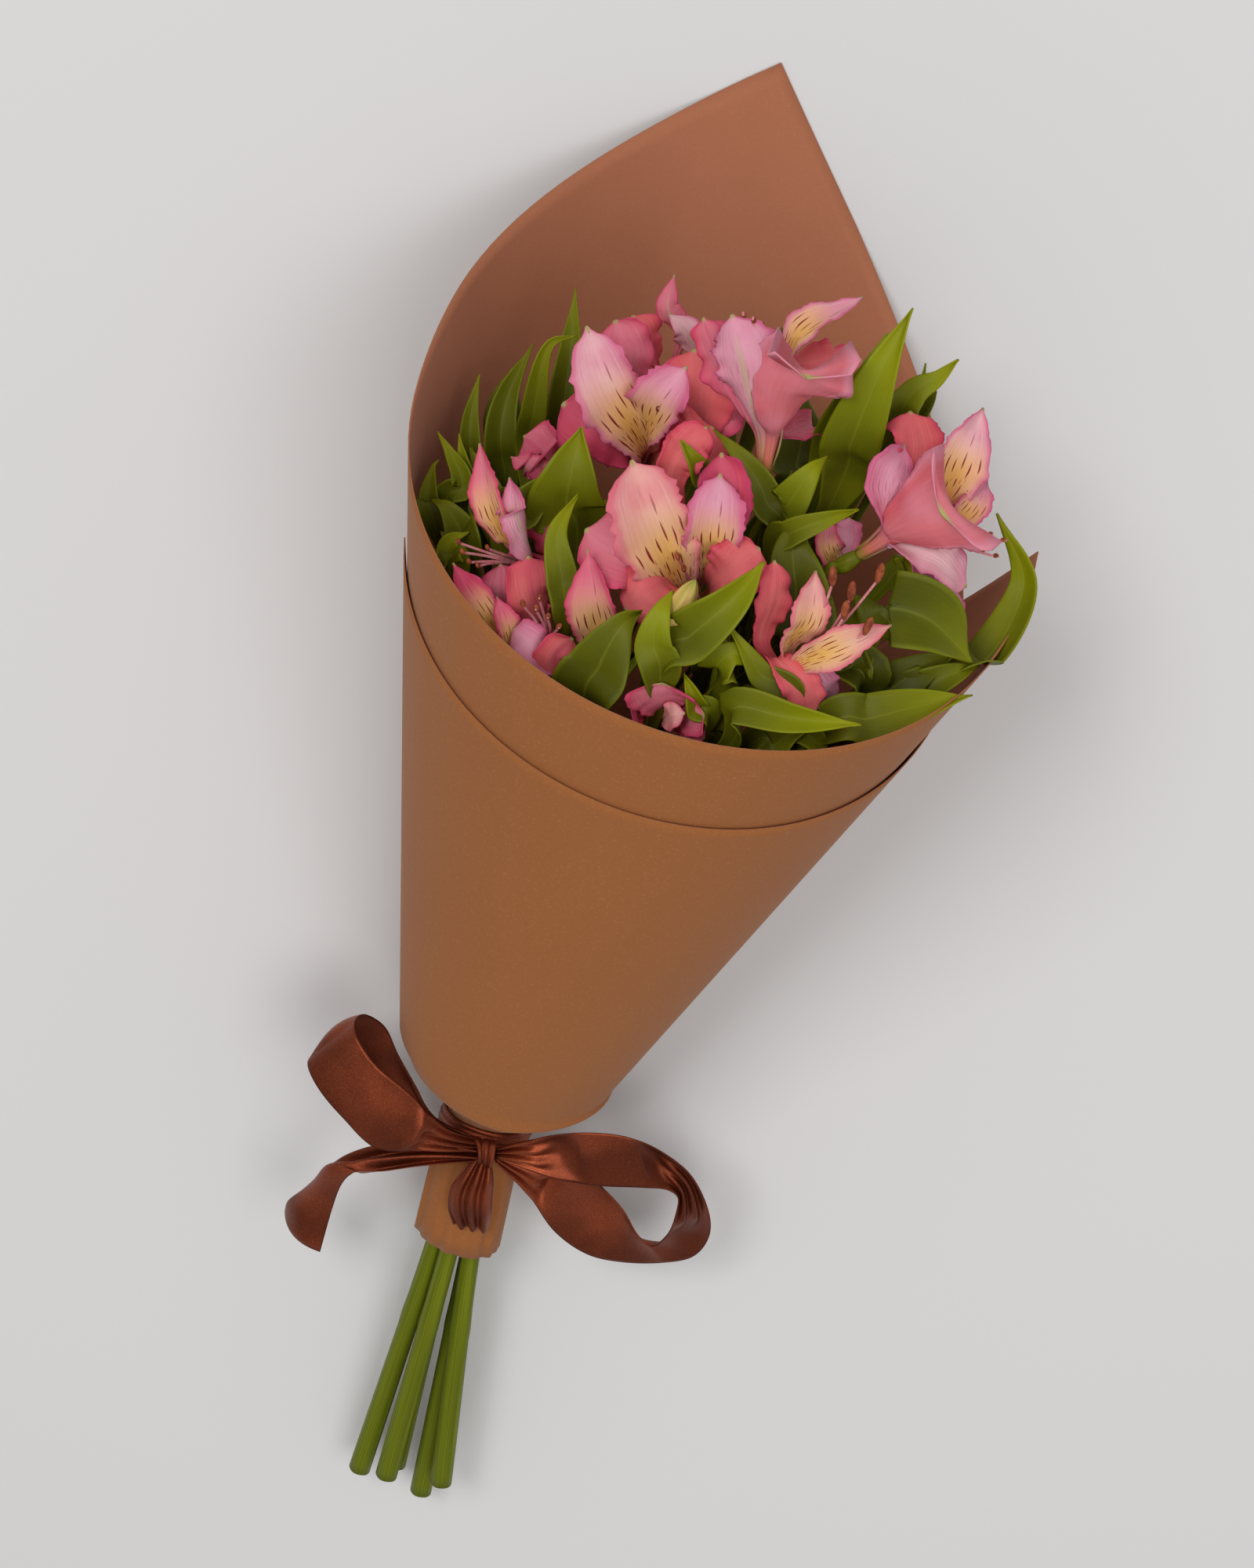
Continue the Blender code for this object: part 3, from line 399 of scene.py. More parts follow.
class BouquetPaperSettings(PropertyGroup):
    """Sizes and colours of the wrapping paper."""

    thickness: FloatProperty(
        name="Thickness", description="Thickness of the sheet", default=0.0004, min=0.0002, unit="LENGTH", precision=5
    )
    pleat_depth: FloatProperty(
        name="Pleat depth", description="Depth of the folds below the bow", default=0.0014, unit="LENGTH", precision=4
    )
    columns: IntProperty(name="Columns", description="Rays round the roll, a turn", default=120, min=24)
    outside: FloatVectorProperty(
        name="Outside", description="Colour of the outer face", subtype="COLOR", size=3, default=(0.31, 0.107, 0.027)
    )
    # The inner face is painted lighter and redder than the outer: painted bounce light inside the cone.
    inside: FloatVectorProperty(
        name="Inside", description="Colour of the inner face", subtype="COLOR", size=3, default=(0.43, 0.157, 0.082)
    )


class BouquetRibbonSettings(PropertyGroup):
    """Sizes and colours of the satin ribbon."""

    width: FloatProperty(
        name="Width", description="Width of the ribbon laid flat", default=0.024, min=0.01, unit="LENGTH"
    )
    thickness: FloatProperty(
        name="Thickness", description="Thickness of the ribbon", default=0.0004, min=0.0002, unit="LENGTH", precision=5
    )
    colour: FloatVectorProperty(
        name="Colour", description="Body colour of the satin", subtype="COLOR", size=3, default=(0.22, 0.042, 0.017)
    )


class BouquetPlantSettings(PropertyGroup):
    """Colours of the stems, leaves and blooms."""

    leaf_thickness: FloatProperty(
        name="Leaf thickness", description="Thickness of a leaf", default=0.0005, unit="LENGTH", precision=5
    )
    tepal_thickness: FloatProperty(
        name="Tepal thickness", description="Thickness of a tepal", default=0.0005, unit="LENGTH", precision=5
    )
    # Dark and bright leaf colours: partly the leaves' own tones and partly painted shade and light.
    leaf_dark: FloatVectorProperty(
        name="Dark leaf", description="Leaves deep in the bunch", subtype="COLOR", size=3, default=(0.050, 0.054, 0.004)
    )
    leaf_bright: FloatVectorProperty(
        name="Bright leaf", description="Leaves in full light", subtype="COLOR", size=3, default=(0.258, 0.280, 0.0015)
    )
    stem: FloatVectorProperty(
        name="Stem", description="Colour of the stems", subtype="COLOR", size=3, default=(0.125, 0.150, 0.004)
    )
    anther: FloatVectorProperty(
        name="Anther", description="Colour of the anthers", subtype="COLOR", size=3, default=(0.36, 0.09, 0.035)
    )


class BouquetStageSettings(PropertyGroup):
    """Camera, lights and floor."""

    lens: FloatProperty(name="Lens", description="Focal length in millimetres", default=67.3, min=20)
    key: FloatProperty(name="Key light", description="Power of the large soft light", default=27, unit="POWER")
    fill: FloatProperty(name="Fill light", description="Power of the fill light", default=9, unit="POWER")
    floor: FloatVectorProperty(
        name="Floor", description="Colour of the floor", subtype="COLOR", size=3, default=(0.71, 0.70, 0.70)
    )


# Materials


class Wire:
    """A value in a material's node tree. Python arithmetic on it adds Math nodes."""

    def __init__(self, finish, socket):
        self.finish = finish
        self.socket = socket

    def math(self, operation, *others):
        return self.finish.add("ShaderNodeMath", {"operation": operation}, [self, *others])

    def __add__(self, other):
        return self.math("ADD", other)

    def __radd__(self, other):
        return self.math("ADD", other)

    def __sub__(self, other):
        return self.math("SUBTRACT", other)

    def __rsub__(self, other):
        return self.finish.add("ShaderNodeMath", {"operation": "SUBTRACT"}, [other, self])

    def __mul__(self, other):
        return self.math("MULTIPLY", other)

    def __rmul__(self, other):
        return self.math("MULTIPLY", other)

    def __truediv__(self, other):
        return self.math("DIVIDE", other)

    def __pow__(self, other):
        return self.math("POWER", other)

    def __abs__(self):
        return self.math("ABSOLUTE")

    def sine(self):
        return self.math("SINE")

    def floor(self):
        return self.math("FLOOR")

    def fract(self):
        return self.math("FRACT")

    def above(self, other):
        return self.math("GREATER_THAN", other)

    def clamped(self):
        return self.finish.add("ShaderNodeClamp", None, [self])

    def ramp(self, low, high):
        """0 below low, 1 above high and a smooth step between; low may be the larger."""
        return self.finish.add(
            "ShaderNodeMapRange",
            {"interpolation_type": "SMOOTHSTEP"},
            {"Value": self, "From Min": low, "From Max": high},
        )


def rgba(colour):
    """A Wire as it is, or a colour with its alpha."""
    return colour if isinstance(colour, Wire) else (*colour, 1)


class Finish:
    """One material round a Principled shader."""

    def __init__(self, name, constants):
        self.material = bpy.data.materials.new(name)
        self.material.use_nodes = True
        self.tree = self.material.node_tree
        self.shader = self.tree.nodes["Principled BSDF"]
        for key, value in constants.items():
            self.shader.inputs[key].default_value = value

    def add(self, kind, settings=None, inputs=(), output=0):
        """Add a node: its settings first, then the values or links of its sockets."""
        node = self.tree.nodes.new(kind)
        for key, value in (settings or {}).items():
            setattr(node, key, value)
        for key, value in inputs.items() if isinstance(inputs, dict) else enumerate(inputs):
            self.join(value, node.inputs[key])
        return Wire(self, node.outputs[output])

    def join(self, value, socket):
        if isinstance(value, Wire):
            self.tree.links.new(value.socket, socket)
        else:
            socket.default_value = value

    def feed(self, name, value):
        """Set or link one socket of the shader."""
        self.join(rgba(value) if name.endswith("Color") else value, self.shader.inputs[name])

    def parts(self, vector):
        """The three components of a vector."""
        first = self.add("ShaderNodeSeparateXYZ", None, [vector])
        return [Wire(self, output) for output in first.socket.node.outputs]

    def uv(self):
        """Across and along the piece's own UV map, both from 0 to 1."""
        across, along, rest = self.parts(self.add("ShaderNodeTexCoord", output="UV"))
        return across, along

    def place(self):
        """The point in the object's own axes."""
        return self.add("ShaderNodeTexCoord", output="Object")

    def vector(self, x, y, z=0.0):
        return self.add("ShaderNodeCombineXYZ", None, [x, y, z])

    def noise(self, vector, scale, detail=2.0, roughness=0.5):
        inputs = {"Vector": vector, "Scale": scale, "Detail": detail, "Roughness": roughness}
        return self.add("ShaderNodeTexNoise", None, inputs)

    def chance(self, x, y):
        """A random number for each whole x and y."""
        return self.add("ShaderNodeTexWhiteNoise", {"noise_dimensions": "2D"}, {"Vector": self.vector(x, y)})

    def attribute(self, name):
        return self.add("ShaderNodeAttribute", {"attribute_name": name}, output="Fac")

    def mix(self, factor, first, second, mode="MIX"):
        """Blend of two colours."""
        settings = {"data_type": "RGBA", "blend_type": mode}
        return self.add("ShaderNodeMix", settings, {0: factor, 6: rgba(first), 7: rgba(second)}, output=2)

    def bump(self, height, depth, strength=1.0):
        """Feed the shader's normal from a height of this depth in metres."""
        inputs = {"Height": height, "Distance": depth, "Strength": strength}
        self.join(self.add("ShaderNodeBump", None, inputs), self.shader.inputs["Normal"])


def paper_finish(settings):
    """Kraft paper: fine fibres, specks and a faint lengthwise rib."""
    finish = Finish("kraft_paper", {"Roughness": 0.82, "Specular IOR Level": 0.25, "Sheen Weight": 0.08})
    place = finish.place()
    across, along = finish.uv()
    fibres = finish.noise(place, 900, 3, 0.7)
    specks = finish.noise(place, 2600, 2, 0.6)
    clouds = finish.noise(place, 14, 3)
    rib = (across * 2600).sine()
    # The inner face takes the lighter, redder inside colour: painted bounce light inside the cone.
    body = finish.mix(finish.attribute("inner_face"), tuple(settings.outside), tuple(settings.inside))
    body = finish.mix(clouds.ramp(0.3, 0.75) * 0.20, body, tuple(c * 0.82 for c in settings.outside))
    body = finish.mix(fibres.ramp(0.52, 0.72) * 0.25, body, (0.50, 0.21, 0.09))
    body = finish.mix(specks.ramp(0.62, 0.74) * 0.4, body, (0.20, 0.065, 0.022))
    finish.feed("Base Color", body)
    finish.bump(fibres * 0.7 + specks * 0.3 + rib * 0.05, 0.00012, 0.5)
    return finish.material


def satin_finish(settings):
    """Satin: a dark body, painted copper glints in loose patches and fine specks, and a fine weave."""
    finish = Finish("copper_satin", {"Metallic": 0.85, "Specular IOR Level": 0.5})
    across, along = finish.uv()
    threads = (across * 420).sine() * 0.5 + (along * 2600).sine() * 0.5
    grain = finish.noise(finish.place(), 3200, 1, 0.7)
    edge = abs(across - 0.5).ramp(0.475, 0.49)
    colour = tuple(settings.colour)
    # Painted glint: loose patches where the body turns lighter copper, standing in for the lamp's reflection.
    painted_glint = finish.noise(finish.place(), 26, 2, 0.5).ramp(0.40, 0.66)
    body = finish.mix(painted_glint, tuple(c * 0.62 for c in colour), tuple(c * 1.25 for c in colour))
    # Painted glints as fine bright copper specks in the weave, more of them inside the painted glint patches.
    body = finish.mix(grain.ramp(0.50, 0.70) * (0.25 + painted_glint * 0.45), body, (0.55, 0.15, 0.045))
    body = finish.mix(edge * 0.5, body, tuple(c * 0.6 for c in colour))
    finish.feed("Base Color", body)
    finish.feed("Roughness", 0.26 + grain * 0.2)
    finish.bump(threads * 0.3 + grain * 0.7, 0.00010, 0.5)
    return finish.material


def leaf_finish(settings):
    """Leaf: parallel veins, a paler midrib, a tone of its own mixed with painted shade, and painted shade towards its
    base.
    """
    finish = Finish("leaf", {"Specular IOR Level": 0.16, "Subsurface Weight": 0.12, "Subsurface Scale": 0.002})
    finish.shader.inputs["Subsurface Radius"].default_value = (0.4, 1.0, 0.1)
    across, along = finish.uv()
    # Each leaf's given tone, partly its own colour and partly painted shade for leaves deep in the bunch.
    tone_and_shade = finish.attribute("tone_and_shade")
    veins = (across * (2 * math.pi * 15)).sine()
    fine = finish.noise(finish.vector(across * 60, along * 6), 1.0, 2)
    clouds = finish.noise(finish.place(), 60, 2)
    midrib = abs(across - 0.5).ramp(0.035, 0.008)
    # Painted shade: the leaf is darker towards its base, where the bunch shades it.
    lit = tone_and_shade * (along.ramp(0.4, 1.0) * 1.0 + 0.25)
    body = finish.mix(lit, tuple(settings.leaf_dark), tuple(settings.leaf_bright))
    body = finish.mix(abs(across - 0.5).ramp(0.42, 0.5) * 0.3, body, tuple(settings.leaf_bright))
    body = finish.mix(clouds.ramp(0.35, 0.75) * tone_and_shade * 0.35, body, (0.26, 0.25, 0.002))
    body = finish.mix(along.ramp(0.75, 1.0) * (0.15 + tone_and_shade * 0.3), body, (0.32, 0.30, 0.01))
    body = finish.mix(veins.ramp(0.2, 1.0) * 0.06 + fine * 0.14, body, (0.03, 0.038, 0.002))
    body = finish.mix(midrib * 0.2, body, (0.30, 0.32, 0.03))
    finish.feed("Base Color", body)
    finish.feed("Roughness", 0.42 + fine * 0.12)
    finish.bump(veins * 0.12 + fine * 0.5 - midrib * 1.2, 0.00016, 0.4)
    return finish.material


def stem_finish(settings):
    """Stem: green with long fibres, paler at the cut."""
    finish = Finish("stem", {"Roughness": 0.42, "Specular IOR Level": 0.14, "Subsurface Weight": 0.08, "Subsurface Scale": 0.002})
    across, along = finish.uv()
    fibres = finish.noise(finish.vector(across * 50, along * 14), 1.0, 2)
    body = finish.mix(fibres.ramp(0.35, 0.7), tuple(c * 0.8 for c in settings.stem), tuple(c * 1.3 for c in settings.stem))
    body = finish.mix(finish.attribute("cut"), body, (0.50, 0.52, 0.20))
    body = finish.mix(finish.attribute("blush") * 0.8, body, (0.30, 0.16, 0.03))
    finish.feed("Base Color", body)
    finish.bump(fibres, 0.0002, 0.5)
    return finish.material


# Colours of a tepal: blade, edge, claw and the pale middle
TINTS = {
    "coral": ((0.68, 0.115, 0.125), (0.62, 0.055, 0.115), (0.56, 0.17, 0.06), (0.74, 0.17, 0.17)),
    "blush": ((0.64, 0.13, 0.155), (0.70, 0.26, 0.34), (0.58, 0.17, 0.08), (0.66, 0.17, 0.19)),
    "rose": ((0.63, 0.13, 0.185), (0.60, 0.05, 0.13), (0.50, 0.17, 0.06), (0.70, 0.21, 0.27)),
    # This tint is partly the tepals' own deep magenta and partly painted shade for tepals that lie in shadow.
    "magenta_and_shade": ((0.52, 0.05, 0.095), (0.50, 0.045, 0.13), (0.46, 0.08, 0.03), (0.60, 0.10, 0.16)),
    "lilac": ((0.66, 0.21, 0.31), (0.60, 0.10, 0.22), (0.50, 0.24, 0.07), (0.74, 0.35, 0.44)),
    "pale": ((0.72, 0.33, 0.39), (0.64, 0.12, 0.24), (0.48, 0.34, 0.10), (0.80, 0.48, 0.50)),
    "cream": ((0.72, 0.28, 0.28), (0.68, 0.12, 0.18), (0.56, 0.28, 0.07), (0.80, 0.43, 0.37)),
}
STREAK = (0.20, 0.007, 0.014)
CREAM = (0.78, 0.46, 0.22)
YELLOW = (0.76, 0.42, 0.09)
MUCRO = (0.42, 0.38, 0.14)
TUBE_FOOT = (0.24, 0.20, 0.02)


def tepal_finish(kind, tint):
    """Tepal: veins, a deeper edge, a green point and, on the streaked ones, maroon dashes."""
    name = f"tepal_{kind}_{tint}"
    if name in bpy.data.materials:
        return bpy.data.materials[name]
    blade, edge, claw, middle = TINTS[tint]
    soft = {"Specular IOR Level": 0.12, "Subsurface Weight": 0.15, "Subsurface Scale": 0.003}
    finish = Finish(name, soft)
    finish.shader.inputs["Subsurface Radius"].default_value = (1.0, 0.45, 0.45)
    across, along = finish.uv()
    side = abs(across - 0.5) * 2
    fine = finish.noise(finish.vector(across * 38, along * 5), 1.0, 3, 0.6)
    clouds = finish.noise(finish.place(), 60, 3)
    veins = (across * (2 * math.pi * 13)).sine()
    wave = finish.noise(finish.vector(across * 5, along * 4), 1.0, 2) * 0.16
    back = finish.attribute("back").ramp(0.3, 0.7)
    # Painted highlight: pale streaks that brighten the blade away from its tip, where light catches its ridges.
    light = finish.noise(finish.vector(across * 11, along * 1.6), 1.0, 3, 0.55)
    body = finish.mix((1 - side + wave).ramp(0.3, 1.0) * 0.8, blade, middle)
    body = finish.mix(clouds.ramp(0.42, 0.72) * 0.45, body, edge)
    body = finish.mix(light.ramp(0.5, 0.75) * along.ramp(1.0, 0.8) * 0.45, body, tuple(min(c * 1.35, 0.85) for c in middle))
    front = 1 - back
    if kind in ("streaked", "pointed"):
        patch = (1 - side + wave * 2).ramp(0.1, 0.55) * along.ramp(0.88, 0.66) * along.ramp(0.2, 0.42)
        body = finish.mix(patch * (front * 0.8 + 0.1), body, CREAM)
        glow = (1 - side).ramp(0.25, 0.9) * along.ramp(0.78, 0.6) * along.ramp(0.36, 0.52)
        body = finish.mix(glow * front * 0.85, body, YELLOW)
        body = finish.mix(back * 0.45, body, middle)
        body = finish.mix(back * side.ramp(0.16, 0.02) * along.ramp(0.98, 0.7) * 0.5, body, (0.42, 0.44, 0.20))
    body = finish.mix((side + wave + along * 0.35).ramp(1.08, 1.36) * 0.85, body, edge)
    body = finish.mix(fine.ramp(0.45, 0.75) * 0.16 + veins.ramp(0.6, 1.0) * 0.05, body, edge)
    if kind == "outer":
        body = finish.mix(back * side.ramp(0.2, 0.0) * 0.4, body, edge)
    body = finish.mix(along.ramp(0.42, 0.08) * 0.85, body, claw)
    body = finish.mix(along.ramp(0.14, 0.02) * 0.8, body, TUBE_FOOT)
    if kind not in ("outer", "fan"):
        strength = 0.35 if kind == "lower" else 1.0
        strength = (front * 0.75 + 0.25) * strength
        body = finish.mix(dashes(finish, across, along, 7.4, 8.5, (0.3, 0.92)) * strength, body, STREAK)
        body = finish.mix(dashes(finish, across, along, 12.0, 21.0, (0.3, 0.66)) * strength * 0.9, body, STREAK)
    body = finish.mix((along - side * 0.02).ramp(0.965, 0.985), body, MUCRO)
    finish.feed("Base Color", body)
    finish.feed("Roughness", 0.52 + fine * 0.15)
    finish.bump(fine * 0.6 + veins * 0.15, 0.00022, 0.5)
    return finish.material


def dashes(finish, across, along, lanes, steps, ends):
    """Maroon dashes in rows along the veins, fewer and fainter towards the tip."""
    low, high = ends
    lane = across * lanes + finish.noise(finish.vector(across * 3, along * 5), 1.0, 1) * 0.7
    row = lane.floor()
    step = along * steps + finish.chance(row, 3.0)
    mark = step.floor()
    luck = finish.chance(row, mark)
    off = abs(lane.fract() - 0.5)
    reach = abs(step.fract() - 0.5) / (0.26 + luck * 0.2)
    width = (1 - reach * reach).clamped() * (0.075 + luck * 0.05)
    ink = (width - off).ramp(-0.015, 0.03)
    span = high - low
    band = along.ramp(high, high - span * 0.15) * along.ramp(low, low + span * 0.2)
    inside = abs(across - 0.5).ramp(0.45, 0.39)
    few = (luck + along.ramp(high, low + span * 0.3) * 0.68).above(0.72)
    return ink * band * inside * few * (0.45 + along.ramp(high, high - span * 0.5) * 0.55)


def plain_finish(name, colour, roughness, deeper):
    """Soft plant tissue in one colour with a mottled deeper one."""
    finish = Finish(name, {"Specular IOR Level": 0.12, "Subsurface Weight": 0.12, "Subsurface Scale": 0.002})
    mottle = finish.noise(finish.place(), 420, 3, 0.6)
    finish.feed("Base Color", finish.mix(mottle.ramp(0.35, 0.7), colour, deeper))
    finish.feed("Roughness", roughness)
    finish.bump(mottle, 0.0003, 0.5)
    return finish.material


def bud_finish():
    """Closed bud: cream with green ribs and a green tip."""
    finish = Finish("bud", {"Roughness": 0.5, "Specular IOR Level": 0.35, "Subsurface Weight": 0.15, "Subsurface Scale": 0.002})
    across, along = finish.uv()
    ribs = (across * (2 * math.pi * 6)).sine()
    body = finish.mix(ribs.ramp(0.1, 0.9) * 0.6, (0.62, 0.43, 0.12), (0.38, 0.34, 0.04))
    body = finish.mix(along.ramp(0.35, 0.0), body, (0.26, 0.32, 0.03))
    body = finish.mix(along.ramp(0.85, 1.0) * 0.8, body, (0.30, 0.34, 0.05))
    finish.feed("Base Color", body)
    finish.bump(ribs, 0.0003, 0.6)
    return finish.material


# Shapes


def catmull(points, steps):
    """Evenly counted points of a smooth curve through the given ones."""
    points = [Vector(p) for p in points]
    ends = [points[0] * 2 - points[1], *points, points[-1] * 2 - points[-2]]
    spans = len(points) - 1
    curve = []
    for i in range(steps + 1):
        place = spans * i / steps
        k = min(int(place), spans - 1)
        t = place - k
        a, b, c, d = ends[k : k + 4]
        square = (2 * a - 5 * b + 4 * c - d) * t * t
        cube = (3 * b - a - 3 * c + d) * t**3
        curve.append(0.5 * (2 * b + (c - a) * t + square + cube))
    return curve


def paced(points, steps, first, share):
    """Smooth curve with even steps up to one of its points and even steps after it."""
    dense = catmull(points, (len(points) - 1) * 30)
    rib = []
    for part, count in ((dense[: first * 30 + 1], round(steps * share)), (dense[first * 30 :], round(steps * (1 - share)))):
        lengths = [0.0]
        for near, far in zip(part, part[1:]):
            lengths.append(lengths[-1] + (far - near).length)
        k = 0
        for i in range(count):
            reach = lengths[-1] * i / count
            while lengths[k + 1] <= reach:
                k += 1
            rib.append(part[k].lerp(part[k + 1], (reach - lengths[k]) / (lengths[k + 1] - lengths[k])))
    return [*rib, dense[-1]]


def eased(stops, t):
    """Value at t on a smooth line through (place, value) stops."""
    last = len(stops) - 2
    k = next((i for i in range(last) if t <= stops[i + 1][0]), last)
    (t0, v0), (t1, v1) = stops[k], stops[k + 1]
    before, after = stops[max(k - 1, 0)], stops[min(k + 2, last + 1)]
    slope0 = (v1 - before[1]) / (t1 - before[0])
    slope1 = (after[1] - v0) / (after[0] - t0)
    span = t1 - t0
    x = (t - t0) / span
    rise = v0 * (2 * x**3 - 3 * x * x + 1) + v1 * (3 * x * x - 2 * x**3)
    return rise + span * (slope0 * (x**3 - 2 * x * x + x) + slope1 * (x**3 - x * x))


def smooth(t):
    t = min(max(t, 0), 1)
    return t * t * (3 - 2 * t)


class Path:
    """Smooth line through points, with sideways axes that turn as little as they can."""

    def __init__(self, points, steps=40):
        self.points = catmull(points, steps)
        self.axes = []
        side = None
        for i in range(steps + 1):
            ahead = (self.points[min(i + 1, steps)] - self.points[max(i - 1, 0)]).normalized()
            side = ahead.orthogonal() if side is None else side
            side = (side - ahead * side.dot(ahead)).normalized()
            self.axes.append((ahead, side, ahead.cross(side)))

    def at(self, t):
        """Point, way ahead and the two sideways axes at t from 0 to 1."""
        place = min(max(t, 0), 1) * (len(self.points) - 1)
        k = min(int(place), len(self.points) - 2)
        near, far = self.axes[k], self.axes[k + 1]
        axes = [a.lerp(b, place - k).normalized() for a, b in zip(near, far)]
        return self.points[k].lerp(self.points[k + 1], place - k), *axes


def deselect():
    if bpy.context.object is not None and bpy.context.object.mode != "OBJECT":
        bpy.ops.object.mode_set(mode="OBJECT")
    bpy.ops.object.select_all(action="DESELECT")


def new_grid(name, columns, rows):
    """Flat grid from -1 to 1 both ways, with its own UV map."""
    deselect()
    bpy.ops.mesh.primitive_grid_add(x_subdivisions=columns, y_subdivisions=rows, size=2)
    grid = bpy.context.object
    grid.name = name
    return grid


def new_tube(name, sides, rows):
    """Closed cylinder along Z from -1 to 1, its wall cut into rows."""
    deselect()
    bpy.ops.mesh.primitive_cylinder_add(vertices=sides, radius=1, depth=2, end_fill_type="TRIFAN")
    tube = bpy.context.object
    tube.name = name
    bpy.ops.object.mode_set(mode="EDIT")
    bpy.ops.mesh.select_all(action="DESELECT")
    bpy.ops.mesh.select_mode(type="EDGE")
    wall = bmesh.from_edit_mesh(tube.data)
    for edge in wall.edges:
        edge.select_set(abs(edge.verts[0].co.z - edge.verts[1].co.z) > 1)
    bmesh.update_edit_mesh(tube.data)
    bpy.ops.mesh.subdivide(number_cuts=rows - 1)
    bpy.ops.object.mode_set(mode="OBJECT")
    return tube


def copy_of(master, name):
    """Copy with its own mesh."""
    twin = master.copy()
    twin.data = master.data.copy()
    twin.name = name
    bpy.context.scene.collection.objects.link(twin)
    return twin


def remove(obj):
    bpy.data.objects.remove(obj)


def shape(obj, place):
    """Move every vertex of a grid to place(across, along), which is in millimetres."""
    for vert in obj.data.vertices:
        vert.co = place(vert.co.x, (vert.co.y + 1) / 2) * MM


def bend_tube(obj, path, radius):
    """Lay a tube along a path; radius(t, angle) is in millimetres."""
    for vert in obj.data.vertices:
        t = (vert.co.z + 1) / 2
        angle = math.atan2(vert.co.y, vert.co.x)
        point, ahead, side, across = path.at(t)
        reach = radius(t, angle) * math.hypot(vert.co.x, vert.co.y)
        vert.co = (point + (side * math.cos(angle) + across * math.sin(angle)) * reach) * MM


def paint(obj, name, value):
    """Store a number on every point, for the material to read."""
    layer = obj.data.attributes.new(name, "FLOAT", "POINT")
    values = [value(v.co) for v in obj.data.vertices] if callable(value) else [value] * len(obj.data.vertices)
    layer.data.foreach_set("value", values)


def unpaint_copies(obj, name, count):
    """Zero a painted number on the points that thickening added, the blade's other face."""
    layer = obj.data.attributes[name].data
    for item in list(layer)[count:]:
        item.value = 0.0


def joined(pieces, name):
    """The pieces as one object."""
    deselect()
    for piece in pieces:
        piece.select_set(True)
    bpy.context.view_layer.objects.active = pieces[0]
    if len(pieces) > 1:
        bpy.ops.object.join()
    whole = bpy.context.object
    whole.name = name
    whole.data.name = name
    return whole


def thicken(obj, thickness, offset=0.0):
    """Give an open surface its thickness."""
    deselect()
    obj.select_set(True)
    bpy.context.view_layer.objects.active = obj
    wall = obj.modifiers.new("thickness", "SOLIDIFY")
    wall.thickness = thickness
    wall.offset = offset
    bpy.ops.object.modifier_apply(modifier=wall.name)


def finished(obj, slot, *nodes):
    """Smooth shading, the body it rides on and the nodes it stands for; slot is not used."""
    deselect()
    obj.select_set(True)
    bpy.context.view_layer.objects.active = obj
    bpy.ops.object.shade_smooth()
    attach(obj, "root")
    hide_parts(*nodes)
    return obj


# Paper


def sheet_edge(angle):
    """Distance from the cone's point to the sheet's edge, along the ray at this angle."""
    phi = math.radians(angle - RIM_MIDDLE_ANGLE) * math.sin(CONE_HALF_ANGLE)
    reach = []
    if math.cos(phi) > 0:
        reach.append(RIM_DISTANCE / math.cos(phi))
    if math.sin(phi) > 0:
        reach.append(RIM_TO_BACK_CORNER / math.sin(phi))
    if math.sin(phi) < 0:
        reach.append(-RIM_TO_FLAP_CORNER / math.sin(phi))
    if math.cos(phi) < 0:
        reach.append(-TAIL_DISTANCE / math.cos(phi))
    return min(reach)


def corner_angle(along, square):
    """Roll angle of the sheet's corner at these distances along and square to the rim."""
    return RIM_MIDDLE_ANGLE + math.degrees(math.atan2(along, square) / math.sin(CONE_HALF_ANGLE))


def roll_angles(step):
    """Angles of the rays: even steps, with the nearest one moved to each corner."""
    count = round((ROLL_END - ROLL_START) / step)
    angles = [ROLL_START + (ROLL_END - ROLL_START) * i / count for i in range(count + 1)]
    for along, square in (
        (RIM_TO_BACK_CORNER, RIM_DISTANCE),
        (-RIM_TO_FLAP_CORNER, RIM_DISTANCE),
        (RIM_TO_BACK_CORNER, -TAIL_DISTANCE),
    ):
        corner = corner_angle(along, square)
        nearest = min(range(len(angles)), key=lambda i: abs(angles[i] - corner))
        angles[nearest] = corner
    return angles


def roll_point(centre, radius, lean, angle, swell=0.0):
    """Point at a roll angle on a ring; the ring's resting side is pressed flat."""
    offset = LAYER_PITCH * (angle - 270) / 360
    reach = radius + offset + swell
    across = reach * math.cos(math.radians(angle))
    up = reach * math.sin(math.radians(angle))
    turns = round((270 - angle) / 360)
    floor = -FLAT_SHARE * radius + LAYER_PITCH * turns
    up = max(up, floor)
    return Vector(centre) + Vector((across, -up * math.sin(lean), up * math.cos(lean)))


def cone_ring(slant):
    """Centre, radius and lean of the cone's ring at a distance from its point."""
    reach = slant * math.cos(CONE_HALF_ANGLE)
    centre = Vector((0, CONE_POINT_Y + reach * math.cos(CONE_LEAN), reach * math.sin(CONE_LEAN)))
    return centre, slant * math.sin(CONE_HALF_ANGLE), CONE_LEAN


def cone_point(slant, angle):
    """Point of the outer face of the rolled sheet."""
    point = roll_point(*cone_ring(slant), angle)
    away = abs((angle - BULGE_ANGLE + 180) % 360 - 180) / BULGE_WIDTH
    if away < 1 and slant > BULGE_START:
        rise = min((slant - BULGE_START) / (BULGE_FULL - BULGE_START), 1) ** 2
        turn = math.radians(angle)
        out = Vector((math.cos(turn), 0, max(math.sin(turn), -0.5)))
        point += out * (BULGE * rise * (1 - away * away) ** 2)
    point.z = max(point.z, 0)
    return point


def pleat(angle):
    """Height of the gathers round the neck, from 0 to 1, alike in every layer."""
    turn = math.radians(angle)
    return 0.5 + 0.25 * math.sin(11 * turn + 0.6) + 0.25 * math.sin(17 * turn + 2.2)


